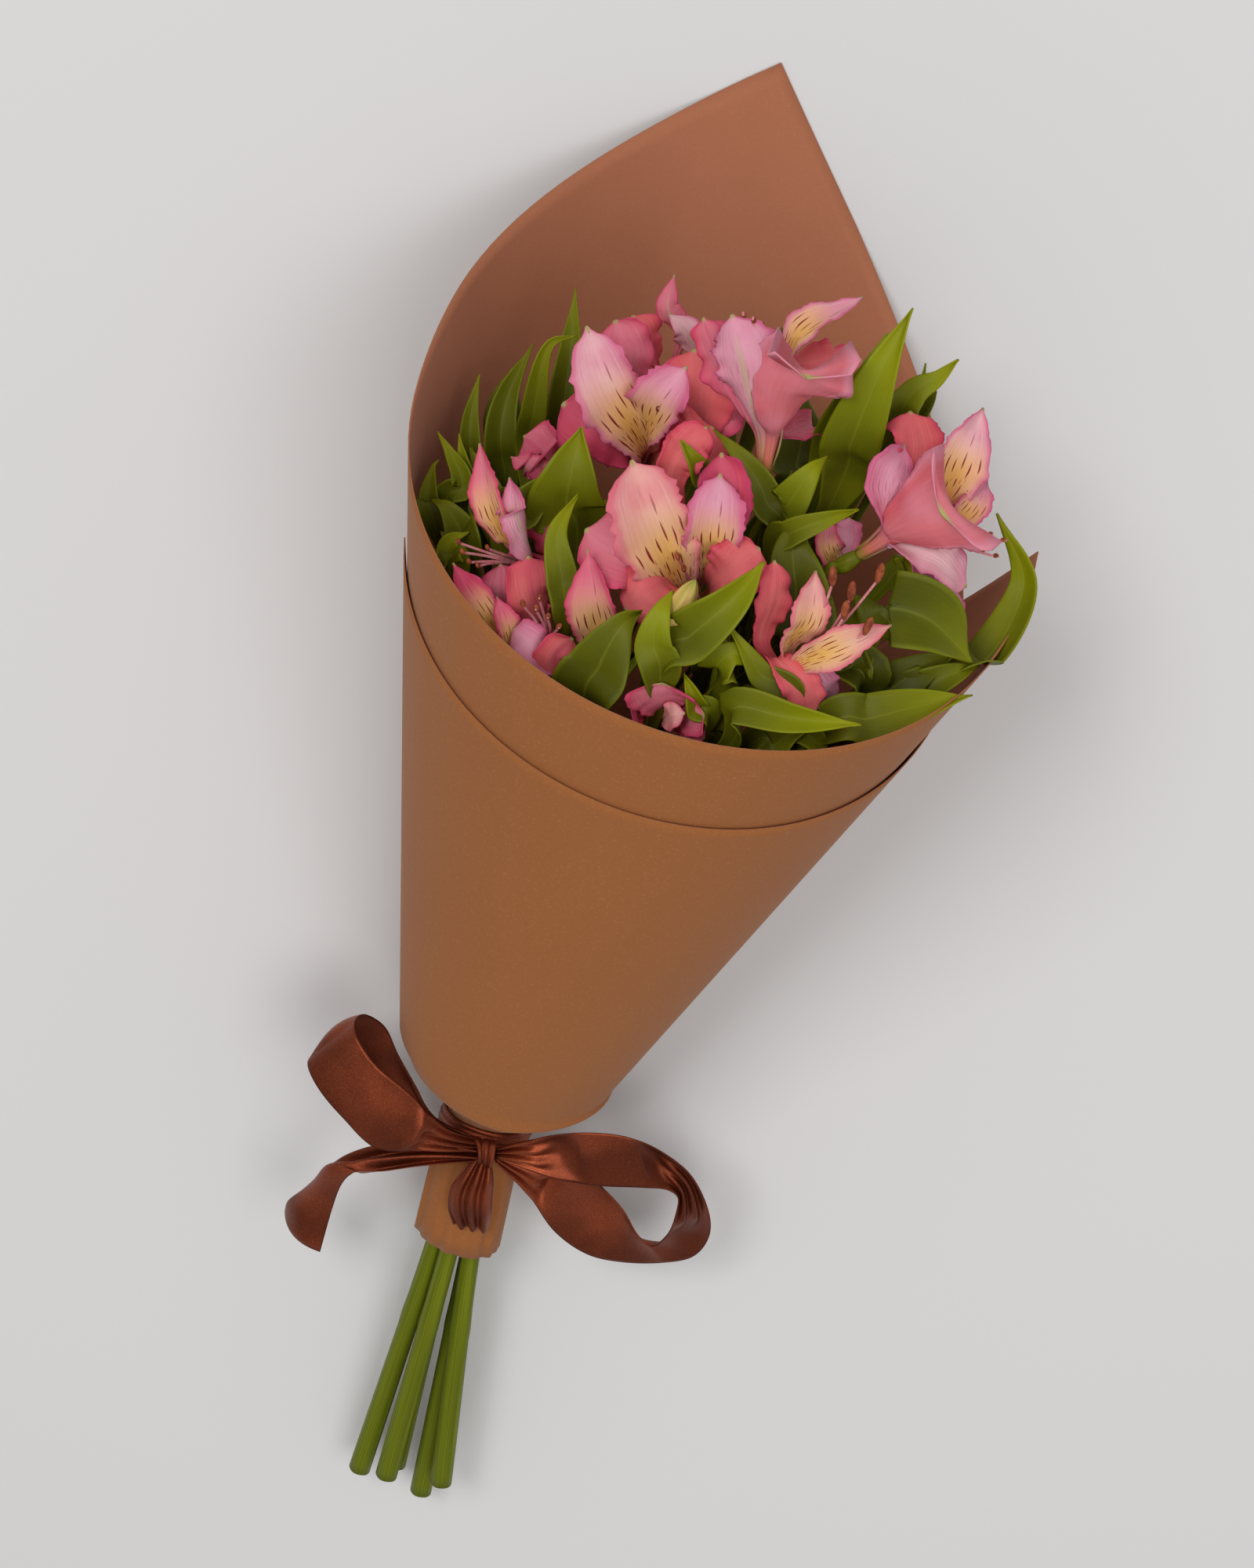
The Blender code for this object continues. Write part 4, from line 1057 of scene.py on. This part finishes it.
class BOUQUET_OT_paper(Operator):
    """Roll the sheet of brown paper and gather its low end."""

    bl_idname = "bouquet.paper"
    bl_label = "Paper wrapper"

    def execute(self, context):
        settings = context.scene.bouquet_paper
        angles = roll_angles(360 / settings.columns)
        rings = [(Vector(centre), radius, math.radians(lean)) for centre, radius, lean in GATHER]
        rings.append(cone_ring(CONE_START))
        gather_rows, cone_rows = 40, 44
        rows = gather_rows + cone_rows
        sheet = new_grid("paper_sheet", len(angles) - 1, rows)
        depth = settings.pleat_depth / MM

        def place(u, t):
            angle = angles[round((u + 1) / 2 * (len(angles) - 1))]
            row = round(t * rows)
            if row > gather_rows:
                share = (row - gather_rows) / cone_rows
                return cone_point(CONE_START + (sheet_edge(angle) - CONE_START) * share, angle)
            along = row / gather_rows * (len(rings) - 1)
            k = min(int(along), len(rings) - 2)
            share = along - k
            (c0, r0, l0), (c1, r1, l1) = rings[k], rings[k + 1]
            fold = depth * pleat(angle) * eased(((0, 1.0), (0.8, 0.8), (1, 0.1), (2, 0.1), (3, 0.9), (4, 0.4), (5, 0), (6, 0)), along)
            point = roll_point(c0.lerp(c1, share), r0 + (r1 - r0) * share, l0 + (l1 - l0) * share, angle, fold)
            point.y += SHOULDER * max(math.cos(math.radians(angle)), 0) * eased(SHOULDER_RISE, along)
            return point

        shape(sheet, place)
        flat_map(sheet, angles)
        paint(sheet, "inner_face", 0.0)
        thicken(sheet, settings.thickness, 1.0)
        mark_inner_face(sheet)
        sheet.data.materials.append(paper_finish(settings))
        finished(sheet, "paper", "paper_wrapper")
        return {"FINISHED"}


def flat_map(sheet, angles):
    """UV map of the sheet laid flat, so that its rib runs straight."""
    size = 2 * RIM_DISTANCE
    uv = sheet.data.uv_layers.active.data
    for loop in uv:
        angle = angles[round(loop.uv.x * (len(angles) - 1))]
        phi = math.radians(angle - RIM_MIDDLE_ANGLE) * math.sin(CONE_HALF_ANGLE)
        reach = sheet_edge(angle) * loop.uv.y
        loop.uv = (0.5 + reach * math.sin(phi) / size, 0.5 + reach * math.cos(phi) / size)


def mark_inner_face(sheet):
    """Mark the points whose faces look towards the bunch."""
    axis_point, radius, lean = cone_ring(300)
    base = Vector((0, CONE_POINT_Y, 0))
    axis = (axis_point - base).normalized()
    values = []
    for vert in sheet.data.vertices:
        point = vert.co / MM
        foot = base + axis * (point - base).dot(axis)
        values.append(1.0 if vert.normal.dot(foot - point) > 0 else 0.0)
    sheet.data.attributes["inner_face"].data.foreach_set("value", values)


# Ribbon


class BOUQUET_OT_ribbon(Operator):
    """Tie the satin bow: turns round the neck, knot, loops and tails."""

    bl_idname = "bouquet.ribbon"
    bl_label = "Satin bow"

    def execute(self, context):
        settings = context.scene.bouquet_ribbon
        satin = satin_finish(settings)
        for name, (pairs, length, rows, pleats) in STRIPS.items():
            strip = new_grid("bow_" + name, 24, rows)
            shape(strip, ribbon_strip(pairs, rows, pleats, settings.width / MM))
            thicken(strip, settings.thickness)
            strip.data.materials.append(satin)
            finished(strip, "satin", "satin_bow")
        for number, shift in enumerate((-2.6, 2.4)):
            band = new_grid(f"bow_turn_{number + 1}", 10, 96)
            shape(band, neck_turn(shift, number))
            merge_ends(band)
            thicken(band, settings.thickness)
            band.data.materials.append(satin)
            finished(band, "satin", "satin_bow")
        knot = new_grid("bow_knot", 20, 60)
        shape(knot, knot_band)
        merge_ends(knot)
        thicken(knot, settings.thickness)
        knot.data.materials.append(satin)
        finished(knot, "satin", "satin_bow")
        return {"FINISHED"}


def ribbon_strip(pairs, rows, pleats, width):
    """Ribbon between two edges, pleated where it is squeezed narrower than it was cut."""
    first = catmull([a for a, b in pairs], rows)
    second = catmull([b for a, b in pairs], rows)

    def place(u, t):
        k = round(t * rows)
        ahead = first[min(k + 1, rows)] + second[min(k + 1, rows)] - first[max(k - 1, 0)] - second[max(k - 1, 0)]
        across = second[k] - first[k]
        normal = ahead.cross(across).normalized()
        chord = across.length
        spare = max(width / chord - 1, 0)
        near = smooth((0.92 - chord / width) / 0.3)
        depth = min(chord / (math.pi * pleats) * math.sqrt(spare), 1.8) * near
        camber = min(chord * math.sqrt(0.375 * spare), 5.0) * (1 - near) + 0.4
        fold = depth * math.sin(math.pi * pleats * (u + 0.15 * math.sin(3 * t)))
        return first[k].lerp(second[k], (u + 1) / 2) + normal * (fold + camber * (1 - u * u))

    return place


def neck_turn(shift, number):
    """One turn of ribbon round the neck, folded narrow."""
    half = 3.4

    def place(u, t):
        angle = 2 * math.pi * t
        lean = 1.2 * math.sin(angle + number)
        crease = 0.35 * math.sin(2.5 * math.pi * u + 2 * number) + 0.12 * math.sin(5 * angle + 3 * u)
        reach = WRAP_RADIUS + 0.25 * number + crease + 0.3 * (1 - u * u)
        spot = Vector((reach * math.cos(angle), shift + lean + u * half, reach * math.sin(angle)))
        return Vector(WRAP_CENTRE) + spot

    return place


def knot_band(u, t):
    """Small band over the middle of the bow, with a few creases along it."""
    angle = 2 * math.pi * t
    crease = 0.4 * math.sin(2.6 * math.pi * u + 1.5 * math.sin(angle)) + 0.3 * math.sin(2 * angle + 2 * u)
    high, wide = 4.0 + crease, 4.8 + crease
    spread = 3.6 + 0.9 * math.cos(angle + 0.6)
    spot = Vector((u * spread + 1.6 * math.sin(angle - 0.7), wide * math.cos(angle), high * math.sin(angle)))
    return Vector(KNOT_CENTRE) + spot


def merge_ends(band):
    """Close a band whose last row lies on its first."""
    deselect()
    band.select_set(True)
    bpy.context.view_layer.objects.active = band
    bpy.ops.object.mode_set(mode="EDIT")
    bpy.ops.mesh.select_all(action="SELECT")
    bpy.ops.mesh.remove_doubles(threshold=0.00001)
    bpy.ops.mesh.normals_make_consistent(inside=False)
    bpy.ops.object.mode_set(mode="OBJECT")


# Stems and leaves


def stem_path(name):
    return Path(STEMS[name], 60)


def flower_stalk(master, name, start, foot, look):
    """Thin stalk that swells to the ovary below a flower."""
    look = Vector(look).normalized()
    end = Vector(foot) - look * RECEPTACLE
    path = Path([start, end - look * 16, end - look * 8, end])
    stalk = copy_of(master, name)
    swell = ((0, 1.5), (0.5, 1.4), (0.62, 1.7), (0.74, 2.9), (0.9, 2.7), (1, 2.0))
    bend_tube(stalk, path, lambda t, angle: eased(swell, t) * (1 + 0.06 * math.cos(6 * angle) * smooth(t * 3 - 1.6)))
    paint(stalk, "cut", 0.0)
    paint(stalk, "blush", lambda point: 0.1 * smooth(1 - (point - end * MM).length / 0.03))
    return stalk


class BOUQUET_OT_stems(Operator):
    """Grow the stems with their flower stalks."""

    bl_idname = "bouquet.stems"
    bl_label = "Stems"

    def execute(self, context):
        settings = context.scene.bouquet_plant
        green = stem_finish(settings)
        stem_master = new_tube("stem_master", 20, 90)
        stalk_master = new_tube("stalk_master", 12, 30)
        for name in STEMS:
            path = stem_path(name)
            radii = [(i / (len(STEM_RADII) - 1), radius) for i, radius in enumerate(STEM_RADII)]
            stem = copy_of(stem_master, "stem")
            joints = [0.16 + 0.11 * k for k in range(8)]

            def radius(t, angle):
                swell = sum(0.45 * math.exp(-(((t - joint) / 0.006) ** 2)) for joint in joints)
                return eased(radii, t) * (1 + 0.02 * math.cos(5 * angle)) + swell

            bend_tube(stem, path, radius)
            cut = Vector(STEMS[name][0]) * MM
            paint(stem, "cut", lambda point: 1.0 if (point - cut).length < STEM_RADII[0] * 0.9 * MM else 0.0)
            paint(stem, "blush", 0.0)
            start, ahead = path.at(1)[:2]
            start = start - ahead * STALK_SINK
            parts = [stem]
            for bloom in BLOOMS.values():
                if bloom[0] == name:
                    parts.append(flower_stalk(stalk_master, "stalk", start, bloom[1], bloom[2]))
            for owner, past, foot, look, length in BUDS:
                if owner == name:
                    parts.append(bud_stalk(stalk_master, start, past, foot))
            whole = joined(parts, "stem_" + name + "_stalks")
            whole.data.materials.clear()
            whole.data.materials.append(green)
            finished(whole, "green", "stem_" + name)
        remove(stem_master)
        remove(stalk_master)
        return {"FINISHED"}


def bud_stalk(master, start, past, foot):
    stalk = copy_of(master, "bud_stalk")
    bend_tube(stalk, Path([start, past, foot]), lambda t, angle: 1.3)
    paint(stalk, "cut", 0.0)
    paint(stalk, "blush", 0.0)
    return stalk


class BOUQUET_OT_leaves(Operator):
    """Set the leaves on their stems."""

    bl_idname = "bouquet.leaves"
    bl_label = "Leaves"

    def execute(self, context):
        settings = context.scene.bouquet_plant
        finish = leaf_finish(settings)
        master = new_grid("leaf_master", 12, 44)
        for name in STEMS:
            path = stem_path(name)
            blades = []
            for number, (stem, place, points, width, tone_and_shade, *face) in enumerate(LEAVES):
                if stem == name:
                    root = path.at(place)[0]
                    blade = copy_of(master, "leaf")
                    shape(blade, leaf_blade(root, points, width, face[0] if face else TO_VIEWER, number))
                    paint(blade, "tone_and_shade", tone_and_shade)
                    blades.append(blade)
            whole = joined(blades, f"stem_{name}_leaves")
            whole.data.materials.append(finish)
            thicken(whole, settings.leaf_thickness)
            finished(whole, "green", "stem_" + name)
        remove(master)
        return {"FINISHED"}


def steady_frames(rib, face, anchor):
    """Way ahead and way across at each point of a rib, turning as little as they can.

    The blade looks towards face where the rib is at its anchor.
    """
    last = len(rib) - 1
    aheads = [(rib[min(k + 1, last)] - rib[max(k - 1, 0)]).normalized() for k in range(last + 1)]
    acrosses = [None] * (last + 1)
    acrosses[anchor] = aheads[anchor].cross(face).normalized()
    for k in [*range(anchor + 1, last + 1), *range(anchor - 1, -1, -1)]:
        near = acrosses[k - 1] if k > anchor else acrosses[k + 1]
        wish = aheads[k].cross(face)
        near = near + wish * (0.12 if near.dot(wish) > 0 else 0)
        acrosses[k] = (near - aheads[k] * near.dot(aheads[k])).normalized()
    return list(zip(aheads, acrosses))


def leaf_blade(root, points, width, face, seed):
    """Lance-shaped leaf with a folded, gently waved and twisted blade."""
    rng = random.Random(seed)
    steps = 44
    rib = paced([root, *points], steps, 1, 0.25)
    frames = steady_frames(rib, Vector(face).normalized(), round(steps * 0.65))
    twist = rng.uniform(-0.7, 0.7)
    waves = rng.uniform(1.0, 2.0)
    phase = rng.uniform(0, 6.28)
    fold = rng.uniform(0.25, 0.7)

    def place(u, t):
        k = round(t * steps)
        ahead, across = frames[k]
        lift = across.cross(ahead)
        turn = twist * (smooth(t * 1.3 - 0.3) - 0.5)
        across, lift = across * math.cos(turn) + lift * math.sin(turn), lift * math.cos(turn) - across * math.sin(turn)
        half = max(eased(LEAF_OUTLINE, t), 0.02) * width / 2
        cup = fold * math.hypot(u, 0.15) * half
        wave = 0.08 * width * u * abs(u) * math.sin(2 * math.pi * waves * t + phase + u)
        return rib[k] + across * (u * half) + lift * (cup + wave)

    return place


class BOUQUET_OT_buds(Operator):
    """Add the closed green buds."""

    bl_idname = "bouquet.buds"
    bl_label = "Buds"

    def execute(self, context):
        finish = bud_finish()
        master = new_tube("bud_master", 24, 24)
        for number, (stem, past, foot, look, length) in enumerate(BUDS):
            look = Vector(look).normalized()
            foot = Vector(foot) - look
            bud = copy_of(master, f"bud_{number + 1}")
            girth = ((0, 0.08), (0.15, 0.19), (0.45, 0.24), (0.75, 0.18), (0.93, 0.08), (1, 0.01))
            path = Path([foot, foot + look * length * 0.5, foot + look * length])
            bend_tube(bud, path, lambda t, a: length * eased(girth, t) * (1 + 0.05 * math.cos(6 * a)))
            bud.data.materials.append(finish)
            finished(bud, "green", "stem_" + stem)
        remove(master)
        return {"FINISHED"}


# Blooms


class BloomFrame:
    """Axes of one bloom: where its foot is, where it looks and which side is up."""

    def __init__(self, spec):
        stem, foot, look, up, size, self.tepals = spec
        self.size = size
        self.foot = Vector(foot)
        self.axis = Vector(look).normalized()
        up = Vector(up)
        self.up = (up - self.axis * up.dot(self.axis)).normalized()
        self.side = self.axis.cross(self.up)

    def place(self, forward, down, sideways):
        return self.foot + (self.axis * forward - self.up * down + self.side * sideways) * self.size


def cross_section(u, bend, roll):
    """Across and up at u from -1 to 1 on a bent strip whose rims roll back."""
    across = up = 0.0
    for k in range(8):
        v = abs(u) * (k + 0.5) / 8
        turn = bend * v - roll * max(v - 0.5, 0) * 2
        across += math.cos(turn)
        up += math.sin(turn)
    return u * across / 8, abs(u) * up / 8


def tepal_blade(bloom, kind, points, width, roll, rng):
    """One tepal: a channelled claw in the tube, then a blade that flares and ruffles."""
    spec = TEPALS[kind]
    steps = 60
    way = Vector(points[-1]) - bloom.foot
    out = (way - bloom.axis * way.dot(bloom.axis)).normalized()
    round_axis = bloom.axis.cross(out)
    throat = bloom.foot + (bloom.axis * 11 + out * 3.6) * bloom.size
    rib = paced([bloom.foot + out * spec["start"], throat, *points], steps, 2, CLAW_SHARE)
    viewer = Vector(TO_VIEWER).normalized()
    phase, second = rng.uniform(0, 6.28), rng.uniform(0, 6.28)
    waves, twist, lopsided = rng.uniform(2.4, 3.6), rng.uniform(-0.45, 0.45), rng.uniform(-0.14, 0.14)
    teeth = [rng.uniform(-1, 1) for k in range(2 * steps + 2)]
    claw_cup, blade_cup = spec["cup"]

    def place(u, t):
        k = round(t * steps)
        ahead = (rib[min(k + 1, steps)] - rib[max(k - 1, 0)]).normalized()
        opened = smooth((t - 0.25) / 0.4)
        facing = ahead.cross(viewer)
        facing *= FACING * opened * (1 if facing.dot(round_axis) > 0 else -1)
        side = round_axis * (1 - FACING * opened) + facing
        across = (side - ahead * side.dot(ahead)).normalized()
        turn = twist * (t - 0.7) * 2 * opened
        inner = ahead.cross(across)
        across, inner = across * math.cos(turn) + inner * math.sin(turn), inner * math.cos(turn) - across * math.sin(turn)
        half = max(eased(spec["outline"], t), 0.02) * width / 2
        reach = 1 + spec["teeth"] * teeth[2 * k + (u > 0)] * abs(u) ** 6 * opened
        reach += lopsided * u * opened + 0.05 * math.sin(19 * t + phase + 2 * u) * abs(u) ** 3 * opened
        bend = claw_cup + (blade_cup - claw_cup) * opened
        aside, lift = cross_section(u, bend, roll * smooth((t - 0.5) / 0.35))
        fold = spec["fold"] * (math.hypot(u, 0.12) - 0.12) * opened
        wave = spec["ruffle"] * abs(u) ** 2.2 * smooth((t - 0.4) / 0.3)
        beat = 2 * math.pi * waves * t + phase + (1.9 if u > 0 else 0)
        wave *= 0.75 * math.sin(beat) + 0.4 * math.sin(2.3 * beat + second)
        swell = 0.6 * math.sin(9 * t + second) * math.sin(2.6 * u + phase) * opened
        ridges = 0.05 * math.sin(13 * u + second) * opened
        rib_line = 0.3 * math.exp(-((u / 0.1) ** 2)) * smooth(t * 4) * (1 - smooth((t - 0.85) / 0.1))
        rise = (lift + fold) * half + (wave + swell) * bloom.size * min(half / 5, 1) + ridges + rib_line
        return rib[k] + across * (aside * half * reach) + inner * rise

    return place


class BOUQUET_OT_blooms(Operator):
    """Open the blooms, tepal by tepal."""

    bl_idname = "bouquet.blooms"
    bl_label = "Blooms"

    def execute(self, context):
        settings = context.scene.bouquet_plant
        master = new_grid("tepal_master", 18, 60)
        for number, (name, spec) in enumerate(BLOOMS.items()):
            bloom = BloomFrame(spec)
            rng = random.Random(100 + number)
            blades = []
            for kind, tint, points, width, roll in bloom.tepals:
                blade = copy_of(master, "tepal")
                shape(blade, tepal_blade(bloom, kind, points, width, roll, rng))
                blade.data.materials.append(tepal_finish(kind, tint))
                blades.append(blade)
            whole = joined(blades, f"bloom_{name}_tepals")
            paint(whole, "back", 1.0)
            count = len(whole.data.vertices)
            thicken(whole, settings.tepal_thickness)
            unpaint_copies(whole, "back", count)
            finished(whole, "petal", "bloom_" + name)
        remove(master)
        return {"FINISHED"}


class BOUQUET_OT_stamens(Operator):
    """Add the drooping stamens with their anthers."""

    bl_idname = "bouquet.stamens"
    bl_label = "Stamens"

    def execute(self, context):
        settings = context.scene.bouquet_plant
        anther_finish = plain_finish("anther", tuple(settings.anther), 0.7, (0.16, 0.035, 0.02))
        filament_finish = plain_finish("filament", (0.62, 0.19, 0.22), 0.5, (0.66, 0.32, 0.32))
        thread = new_tube("filament_master", 8, 24)
        grain = new_tube("anther_master", 12, 12)
        for name, (size, tips) in STAMENS.items():
            bloom = BloomFrame(BLOOMS[name])
            parts = []
            for k, tip in enumerate(tips):
                tip = Vector(tip)
                base = bloom.place(8.6, 0.6 - 0.3 * (k % 3), 0.5 * (k - 2))
                middle = base.lerp(tip, 0.5) + bloom.axis * (2.5 + k % 2)
                way = ((tip - middle).normalized() + bloom.up * 0.5).normalized()
                filament = copy_of(thread, "filament")
                bend_tube(filament, Path([base, middle, tip, tip + way * 1.4]), lambda t, a: 0.55 - 0.2 * t)
                filament.data.materials.append(filament_finish)
                anther = copy_of(grain, "anther")
                lobe = ((0, 0.5), (0.25, 1.0), (0.6, 1.1), (0.88, 0.75), (1, 0.25))
                path = Path([tip - way * 0.8 * size, tip + way * 2.2 * size, tip + way * 5.2 * size])
                girth = 0.5 + 0.6 * size
                bend_tube(anther, path, lambda t, a: girth * eased(lobe, t) * (1 - 0.22 * abs(math.cos(a)) ** 6))
                anther.data.materials.append(anther_finish)
                parts += [filament, anther]
            whole = joined(parts, "stamens_" + name + "_threads")
            finished(whole, "stamen", "stamens_" + name)
        remove(thread)
        remove(grain)
        return {"FINISHED"}


# Stage

CAMERA_PLACE = Vector((-0.109, 0.3872, 1.0267))
CAMERA_TARGET = Vector((0.0141, 0.0122, 0.0))
CAMERA_UP = Vector((-0.312, 0.950, 0.0))


def aim(obj, place, target, up):
    """Put a camera or light at a place, looking at the target."""
    back = (place - target).normalized()
    right = up.cross(back).normalized()
    turn = Matrix((right, back.cross(right), back)).transposed().to_4x4()
    obj.matrix_world = Matrix.Translation(place) @ turn


class BOUQUET_OT_stage(Operator):
    """Lay the floor and set the lights and the camera."""

    bl_idname = "bouquet.stage"
    bl_label = "Stage"

    def execute(self, context):
        settings = context.scene.bouquet_stage
        deselect()
        bpy.ops.mesh.primitive_plane_add(size=8, location=(0, 0, -0.0006))
        floor = context.object
        floor.name = "floor"
        finish = Finish("floor", {"Roughness": 0.9, "Specular IOR Level": 0.1})
        finish.feed("Base Color", tuple(settings.floor))
        floor.data.materials.append(finish.material)
        bpy.ops.object.camera_add()
        camera = context.object
        camera.data.lens = settings.lens
        camera.data.sensor_width = 36
        camera.data.clip_start = 0.01
        aim(camera, CAMERA_PLACE, CAMERA_TARGET, CAMERA_UP)
        context.scene.camera = camera
        world = bpy.data.worlds.new("studio")
        world.use_nodes = True
        world.node_tree.nodes["Background"].inputs["Color"].default_value = (1.0, 0.99, 0.98, 1)
        world.node_tree.nodes["Background"].inputs["Strength"].default_value = 0.43
        context.scene.world = world
        for name, place, size, power in (
            ("key_light", Vector((-1.2, 1.0, 2.3)), 1.0, settings.key),
            ("fill_light", Vector((0.5, 0.1, 1.7)), 1.0, settings.fill),
        ):
            bpy.ops.object.light_add(type="AREA")
            light = context.object
            light.name = name
            light.data.size = size
            light.data.energy = power
            aim(light, place, Vector((0, 0, 0.08)), Vector((0, 0, 1)))
        context.scene.view_settings.view_transform = "Standard"
        return {"FINISHED"}


class BOUQUET_PT_sidebar(Panel):
    """Buttons for every group of pieces."""

    bl_idname = "BOUQUET_PT_sidebar"
    bl_label = "Bouquet"
    bl_space_type = "VIEW_3D"
    bl_region_type = "UI"
    bl_category = "Bouquet"

    def draw(self, context):
        for piece in OPERATORS:
            self.layout.operator(piece.bl_idname)


SETTINGS = {
    "bouquet_paper": BouquetPaperSettings,
    "bouquet_ribbon": BouquetRibbonSettings,
    "bouquet_plant": BouquetPlantSettings,
    "bouquet_stage": BouquetStageSettings,
}
OPERATORS = (
    BOUQUET_OT_stage,
    BOUQUET_OT_paper,
    BOUQUET_OT_ribbon,
    BOUQUET_OT_stems,
    BOUQUET_OT_leaves,
    BOUQUET_OT_buds,
    BOUQUET_OT_blooms,
    BOUQUET_OT_stamens,
)


def register():
    for group in SETTINGS.values():
        bpy.utils.register_class(group)
    for piece in (*OPERATORS, BOUQUET_PT_sidebar):
        bpy.utils.register_class(piece)
    for name, group in SETTINGS.items():
        setattr(bpy.types.Scene, name, PointerProperty(type=group))


def unregister():
    for name in SETTINGS:
        delattr(bpy.types.Scene, name)
    for piece in (BOUQUET_PT_sidebar, *reversed(OPERATORS)):
        bpy.utils.unregister_class(piece)
    for group in reversed(SETTINGS.values()):
        bpy.utils.unregister_class(group)


def main():
    register()
    bpy.ops.bouquet.stage()
    bpy.ops.bouquet.paper()
    bpy.ops.bouquet.ribbon()
    bpy.ops.bouquet.stems()
    bpy.ops.bouquet.leaves()
    bpy.ops.bouquet.buds()
    bpy.ops.bouquet.blooms()
    bpy.ops.bouquet.stamens()


if __name__ == "__main__":
    main()
